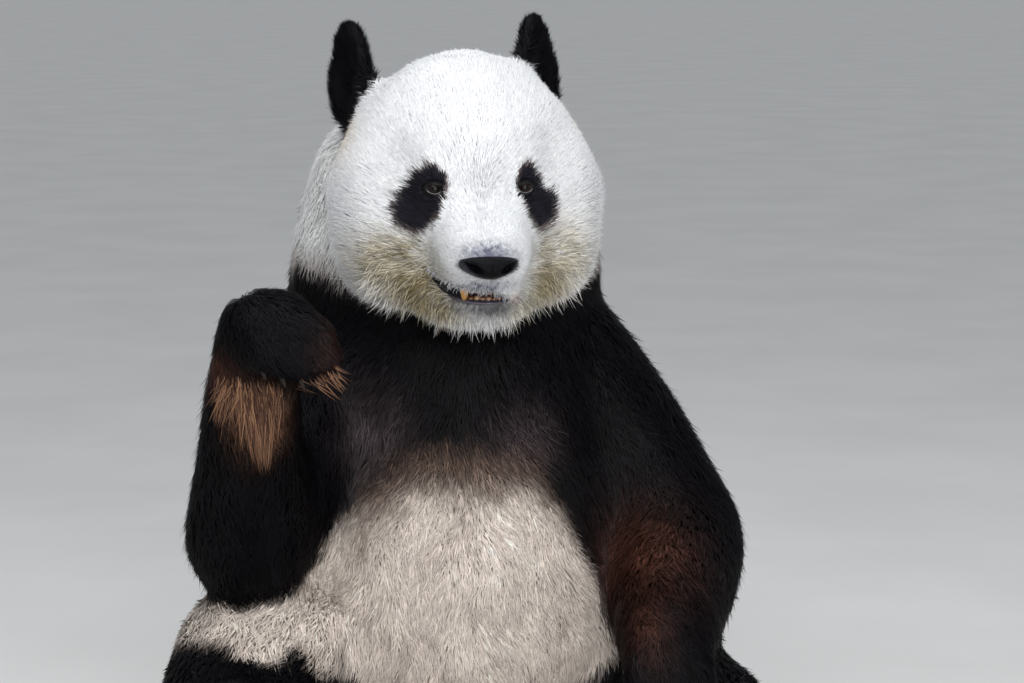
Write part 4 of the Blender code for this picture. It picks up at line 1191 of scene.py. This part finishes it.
def followed(points, tree):
    """The nearest place on the hide to each point, and the number of the triangle it is on."""
    found = [tree.find_nearest(point) for point in points.tolist()]
    return np.array([tuple(hit[0]) for hit in found]), np.array([hit[2] for hit in found])


def covers_eye(places):
    """Whether each place lies over the opening between the lids."""
    hidden = np.zeros(len(places), bool)
    for eye_centre, outer, upper in eye_frames:
        away = places - eye_centre
        oval = np.hypot(away @ outer / (LID_HALF[0] * 1.25), away @ upper / (LID_HALF[1] * 1.35))
        hidden |= (oval < 1) & (np.linalg.norm(away, axis=1) < 0.03)
    return hidden


# The lie of the hair over the hide: laid along it, parted round the eyes, and swirled a little.
random = np.random.default_rng(11)
hide_normals = normals_of(points, faces)
ways = laid_along(hair_way(points, node_names), hide_normals)
ways = laid_along(relaxed(ways, pairs, LIE_ROUNDS), hide_normals)
round_eyes = np.exp(-(((from_eyes - 0.6) / 0.9) ** 2)) * (from_eyes < 3)
ways = laid_along(ways + PARTING * round_eyes[:, None] * eye_rays, hide_normals)
coat[:, LENGTH] *= EYE_SHORT + (1 - EYE_SHORT) * smoothstep(*EYE_SHORT_REACH, from_eyes)
swirl = sum((noise_at(points, size, seed) - 0.5) * strength for size, seed, strength in SWIRLS)
swirl = swirl * np.where(on_head, HEAD_CALM, 1.0)
ways = unit(ways + np.cross(hide_normals, ways) * swirl[:, None])

# The roots: sown over the hide's triangles as densely as each asks, none where the skin is bare.
a, b, c = (points[faces[:, k]] for k in range(3))
areas = np.linalg.norm(np.cross(b - a, c - a), axis=1) / 2
density = coat[faces, DENSITY].mean(axis=1)
density *= 1 - SPARSER * smoothstep(*BEHIND, points[faces, 1].mean(axis=1))
density *= np.where(bare[faces].max(axis=1) > 0.5, 0, 1)
chosen = sown(areas * density, random)
shares = np.sort(random.random((len(chosen), 2)), axis=1)
shares = np.stack([shares[:, 0], shares[:, 1] - shares[:, 0], 1 - shares[:, 1]], 1)


def shared(values):
    """Values at the hide's points, carried to the roots."""
    return np.einsum("nk,nkd->nd", shares, values[faces[chosen]])


roots = shared(points)
names = node_names[faces[chosen, 0]]
kinds = kinds_of(names)
on_face, on_ear, tidy = (np.isin(kinds, listed) for listed in (FACE_KINDS, ("ear",), TIDY_KINDS))
on_ruff = ruff_at(roots) * on_face
ups = unit(shared(hide_normals))
lie = laid_along(shared(ways), ups)
depth, length, width = shared(coat[:, :DENSITY]).T
count = len(roots)

# The tufts: each is followed along the hide to its middle and its tip, which stand off by the coat's
# depth, one here and there more. They are looser on the ruff and the ears.
scatter = np.where(on_face, SCATTER_FACE + SCATTER_RUFF * on_ruff, SCATTER_BODY)
lie = unit(lie + np.cross(ups, lie) * (scatter * random.standard_normal(count))[:, None])
stray = 1 + STRAY_LENGTH * (random.random(count) < STRAYS * on_ruff)
length = length * (LENGTH_LEAST + LENGTH_MORE * random.random(count)) * stray
width = width * (WIDTH_LEAST + WIDTH_MORE * random.random(count))
width = width * (1 + WIDER * smoothstep(*WIDER_BEHIND, roots[:, 1]))
hide_tree = tree_of(points, faces)
mid_feet, mid_faces = followed(roots + lie * (MID_SHARE * length)[:, None], hide_tree)
tip_feet, tip_faces = followed(roots + lie * length[:, None], hide_tree)
mid_ups = unit(hide_normals[faces[mid_faces]].mean(axis=1))
tip_ups = unit(hide_normals[faces[tip_faces]].mean(axis=1))
stand = TIP_STAND + np.where(tidy, *TIP_RANGES) * (random.random(count) - 0.5)
stand += np.where(tidy, *RISEN_MORE) * (random.random(count) < RISEN)
mids = mid_feet + mid_ups * (depth * (MID_LEAST + MID_MORE * random.random(count)))[:, None]
for own, (least, more, power) in ((on_ruff, RUFF_STAND), (on_ear, EAR_STAND)):
    stand += own * (least + more * random.random(count) ** power)
tips = tip_feet + tip_ups * (depth * stand)[:, None]
clear = ~(covers_eye(mids) | covers_eye(tips) | covers_eye((mids + tips) / 2))

# The clumps: one tuft in thirteen leads, and the tips round it are drawn towards its own.
leaders = random.choice(count, count // CLUMP, replace=False)
clumps = KDTree(len(leaders))
for number, leader in enumerate(leaders.tolist()):
    clumps.insert(roots[leader], number)
clumps.balance()
led_by = leaders[[clumps.find(root)[1] for root in roots.tolist()]]
gather = np.where(on_face, GATHER_FACE, GATHER_BODY) * random.random(count)
pull = tips[led_by] - tips
close = np.linalg.norm(pull, axis=1) < length * GATHER_REACH
tips = tips + pull * (gather * close)[:, None]
roots = roots - ups * ROOT_DEPTH
for place in (roots, mids, tips):
    place[:, 2] = np.maximum(place[:, 2], GROUND)

# The tones: each tuft and each clump differs a little, more where the hair is stained, grey or black.
colours = hide_colours[faces[mid_faces, 0]]
bright = colours.mean(axis=1) > 0.15
stain = 1 - colours[:, 2] / colours.max(axis=1)
grey = np.clip(1 - colours.mean(axis=1) / 0.80, 0, 1) * on_face
pale_strength = PALE_TONE + STAIN_TONE * np.clip(stain, 0, 0.5) + GREY_TONE * grey
strength = np.where(bright, pale_strength, DARK_TONE)
own_tone = 1 + strength * random.standard_normal(count)
clump_tone = 1 + CLUMP_TONE * strength * random.standard_normal(count)[led_by]
colours = colours * np.clip(own_tone * clump_tone, *TONE_RANGE)[:, None]
browned = colours * (1 + random.random((count, 1)) * BROWNING)
colours = np.clip(np.where(bright[:, None], colours, browned), 0, BRIGHTEST)

# ---- The loose hair -------------------------------------------------------------------------------
# Long stained hair hangs from the raised wrist in wisps, each a bundle that tapers. Loose hairs hang
# from the edge of the cheeks, from the chin and over the upper lip. They join the coat's own pieces.
WISPS = (  # across, up, how far it hangs, how far it drifts aside, tufts
    (-0.318, 0.560, 0.050, -0.006, 120), (-0.308, 0.556, 0.064, -0.006, 150),
    (-0.297, 0.552, 0.058, 0.002, 150), (-0.286, 0.550, 0.078, 0.006, 170),
    (-0.276, 0.550, 0.100, 0.012, 220), (-0.267, 0.548, 0.098, 0.008, 200),
    (-0.256, 0.548, 0.066, 0.006, 120), (-0.210, 0.550, 0.034, 0.014, 130),
    (-0.200, 0.554, 0.036, 0.018, 150), (-0.188, 0.560, 0.034, 0.016, 150),
    (-0.178, 0.566, 0.028, 0.010, 110), (-0.170, 0.572, 0.022, 0.006, 60),
)
WISP_SPREAD, WISP_WIDTH = (0.0055, 0.0060), 0.0009
WRIST_FRONT, HEAD_FRONT = -0.33, -0.15  # hair is held only where its root meets hide ahead of this
CHIN_HAIRS, CHIN_HALF, CHIN_UP, CHIN_CURVE = 1300, 0.124, 0.612, 3.6
LIP_HAIRS, LIP_FROM, LIP_WIDE = 230, -0.057, 0.079
LIP_HAIR_GREY = (0.42, 0.42, 0.44)
LOOSE_WIDTH = 0.00036  # of the hairs on the chin and the lip
LOOSE_UP = np.array((-0.15, -0.95, 0.25))  # the way the flat of every loose hair faces

fringe = []
for across, up, hang, drift, hairs in WISPS:
    scatter = random.standard_normal((hairs, 2)) * WISP_SPREAD
    feet, feet_ups = cast_from_front(across + scatter[:, 0], up + scatter[:, 1], hide_tree)
    hang = hang * (0.35 + 0.70 * random.random(hairs))
    side = drift + 0.30 * scatter[:, 0] + 0.0045 * random.standard_normal(hairs)
    ahead = 0.004 + 0.006 * random.random(hairs)
    middle = feet + np.column_stack([0.35 * side, -ahead, -0.45 * hang])
    end = np.column_stack([across + side, feet[:, 1] - 0.5 * ahead, feet[:, 2] - hang])
    tint = np.array(UMBER) * 0.6 + random.random((hairs, 1)) ** 1.4 * (np.array(OCHRE) - UMBER)
    held = feet_ups.any(axis=1) & (feet[:, 1] < WRIST_FRONT)
    fringe.append((feet[held], middle[held], end[held], tint[held]))
wrist_hairs = sum(len(part[0]) for part in fringe)

chin_across = (2 * random.random(CHIN_HAIRS) - 1) * CHIN_HALF
chin_up = CHIN_UP + CHIN_CURVE * chin_across**2 + 0.014 * random.standard_normal(CHIN_HAIRS)
lip_hair_across = LIP_FROM + LIP_WIDE * random.random(LIP_HAIRS) ** 1.3
lip_hair_up = np.interp(lip_hair_across, lip_across, upper_up) + 0.0014 + 0.0030 * random.random(LIP_HAIRS)
across = np.concatenate([chin_across, lip_hair_across])
count = len(across)
on_chin = np.arange(count) < CHIN_HAIRS
feet, feet_ups = cast_from_front(across, np.concatenate([chin_up, lip_hair_up]), hide_tree)
hang = np.where(on_chin, 0.008, 0.003) + np.where(on_chin, 0.018, 0.006) * random.random(count) ** 2
side = across * 0.12 + np.where(on_chin, 0.005, 0.0015) * random.standard_normal(count)
ahead = np.where(on_chin, 0.004, 0.0025) * (1 + 1.2 * random.random(count))
middle = feet + feet_ups * 0.004 + np.column_stack([0.4 * side, -ahead, -0.5 * hang])
end = feet + np.column_stack([side, -0.6 * ahead, -1.25 * hang])
_, chin_faces = followed(feet, hide_tree)
tint = np.where(on_chin[:, None], hide_colours[faces[chin_faces, 0]] * 1.02, LIP_HAIR_GREY)
tint = np.clip(tint * (1 + 0.08 * random.standard_normal((count, 1))), 0, 0.88)
held = feet_ups.any(axis=1) & (feet[:, 1] < HEAD_FRONT)
fringe.append((feet[held], middle[held], end[held], tint[held]))

feet, middle, end, tint = (np.concatenate(part) for part in zip(*fringe))
count = len(feet)
on_wrist = np.arange(count) < wrist_hairs
thick = np.where(on_wrist, WISP_WIDTH, LOOSE_WIDTH) * (1 + random.random(count))
roots, mids, tips, mid_ups, width, colours, names, clear = (np.concatenate(part) for part in (
    (roots, feet), (mids, middle), (tips, end), (mid_ups, np.tile(unit(LOOSE_UP), (count, 1))),
    (width, thick), (colours, tint), (names, np.where(on_wrist, "right_forearm", "lower_jaw")),
    (clear, np.ones(count, bool)),
))

# ---- The coat's own pieces ------------------------------------------------------------------------
# One piece for each stretch of the coat, so that none grows too heavy: the dark ones a little glossier,
# the pale ones dull.
PIECE_TUFTS = 33000  # the most tufts in one piece
PATCH_SPAN = 0.003  # side of a tuft's place on the bake map
TUFT_RIDGE, TUFT_LEAN = 0.5, 0.45  # height of its ridge, and how far its sides' normals lean out
# painted shade along each tuft: darker at the root and, on dark tufts, a little at the sides; dark tips a
# little lighter
DARK_PAINTED_SHADE, PALE_PAINTED_SHADE = (0.60, 0.95, 1.00, 0.95, 1.06), (0.9, 1, 1, 1, 1)  # from its root to its tip
FRONT_BACK, BELLY_BACK, BELLY_TOP = -0.05, 0.02, 0.42  # where the trunk's pieces meet
FACE_FRONT, BROW_FOOT = -0.25, 0.732  # where the face begins, and where the brow ends below
SLOTS = {  # the pale finish for the rest
    "coat_belly": "coat_belly", "coat_right_arm": "coat_black", "coat_left_arm": "coat_black",
    "coat_chest": "coat_black", "coat_ears": "coat_black",
    "coat_right_leg": "coat_black", "coat_left_leg": "coat_black",
}


def zone_of(points, names):
    """The coat piece that a tuft at each point belongs to."""
    _, y, z = points.T
    kinds = kinds_of(names)
    zones = np.where(y < FRONT_BACK, "coat_chest", "coat_back").astype("U24")
    zones[(kinds == "abdomen") & (y < BELLY_BACK)] = "coat_belly"
    zones[(kinds == "chest") & (y < FRONT_BACK) & (z < BELLY_TOP)] = "coat_belly"
    zones[(kinds == "tail") | ((kinds == "abdomen") & (y >= BELLY_BACK))] = "coat_rump"
    head = np.isin(kinds, HEAD_KINDS)
    zones[head] = "coat_crown"
    zones[head & (y < FACE_FRONT) & (z >= BROW_FOOT)] = "coat_brow"
    zones[head & (y < FACE_FRONT) & (z < BROW_FOOT)] = "coat_cheeks"
    zones[kinds == "ear"] = "coat_ears"
    for side in ("right", "left"):
        own = np.char.startswith(names, side)
        zones[own & np.isin(kinds, ("upper_arm", "forearm", "forepaw"))] = f"coat_{side}_arm"
        zones[own & np.isin(kinds, ("thigh", "shin", "hind_foot"))] = f"coat_{side}_leg"
    return zones


def on_sphere_map(ways):
    """Directions folded onto a square from 0 to 1: an octahedron opened out flat."""
    x, y, z = (ways / np.maximum(np.abs(ways).sum(axis=1, keepdims=True), 1e-9)).T
    folded = (1 - np.abs(y)) * np.where(x < 0, -1, 1), (1 - np.abs(x)) * np.where(y < 0, -1, 1)
    flat = np.where((z < 0)[:, None], np.stack(folded, 1), np.stack([x, y], 1))
    return 0.5 + 0.5 * flat


def bake_places(points, names):
    """Each root's place on the bake map: every node has its own cell, opened out about its centre."""
    listed = sorted(set(names))
    grid = math.ceil(math.sqrt(len(listed)))
    places = np.zeros((len(points), 2))
    for number, name in enumerate(listed):
        own = names == name
        inner = on_sphere_map(unit(points[own] - box_of(name)[0]))
        places[own] = (np.array((number % grid, number // grid)) + 0.02 + 0.96 * inner) / grid
    return places


def tuft_mesh(name, roots, mids, tips, mid_ups, widths, colours, places):
    """Closed tufts. Each is a bent spindle: a point at the root, a flat three-sided ring, a tip. Each is
    painted darker at its root as the shade among the hairs, a dark tuft more so and a little at its sides,
    and a dark tuft lighter at its tip."""
    count = len(roots)
    across = unit(np.cross(unit(tips - roots), mid_ups))
    wide = widths[:, None] / 2
    ring = mids - across * wide, mids + mid_ups * wide * TUFT_RIDGE, mids + across * wide
    corners = np.stack([roots, *ring, tips], 1)
    lean = unit(mid_ups - across * TUFT_LEAN), mid_ups, unit(mid_ups + across * TUFT_LEAN)
    normals = np.stack([mid_ups, *lean, mid_ups], 1)
    spindle = np.array(((0, 2, 1), (0, 3, 2), (0, 1, 3), (1, 2, 4), (2, 3, 4), (3, 1, 4)))
    faces = (spindle[None] + 5 * np.arange(count)[:, None, None]).reshape(-1, 3)
    mesh = mesh_from(name, corners.reshape(-1, 3), faces)
    bright = smoothstep(0.1, 0.4, colours.mean(axis=1))[:, None]
    # painted shade: darker roots and, on dark tufts, slightly darker sides
    painted_shades = np.array(DARK_PAINTED_SHADE) * (1 - bright) + np.array(PALE_PAINTED_SHADE) * bright
    coloured(mesh, colours[:, None] * painted_shades[..., None])
    spots = np.array(((0, -1), (-1, 0), (0, 0), (1, 0), (0, 1))) * PATCH_SPAN / 2
    uv = (places[:, None] + spots[None]).reshape(-1, 2)[faces.ravel()]
    mesh.uv_layers.new(name="OFBake").data.foreach_set("uv", uv.astype(np.float32).ravel())
    mesh.normals_split_custom_set_from_vertices(normals.reshape(-1, 3))
    return mesh


pale_finish = coat_finish("hair_finish", 0.60, 0.20, 0.0006)
dark_finish = coat_finish("dark_hair_finish", 0.44, 0.08, 0.0006)
zones = zone_of(roots, names)
for zone in sorted(set(zones)):
    own = np.flatnonzero((zones == zone) & clear)
    if len(own) > PIECE_TUFTS:
        own = np.sort(random.choice(own, PIECE_TUFTS, replace=False))
    mesh = tuft_mesh(
        zone, roots[own], mids[own], tips[own], mid_ups[own], width[own], colours[own],
        bake_places(roots[own], names[own]),
    )
    tufts = piece_from(mesh, dark_finish if SLOTS.get(zone) == "coat_black" else pale_finish)
    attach(tufts, "root")
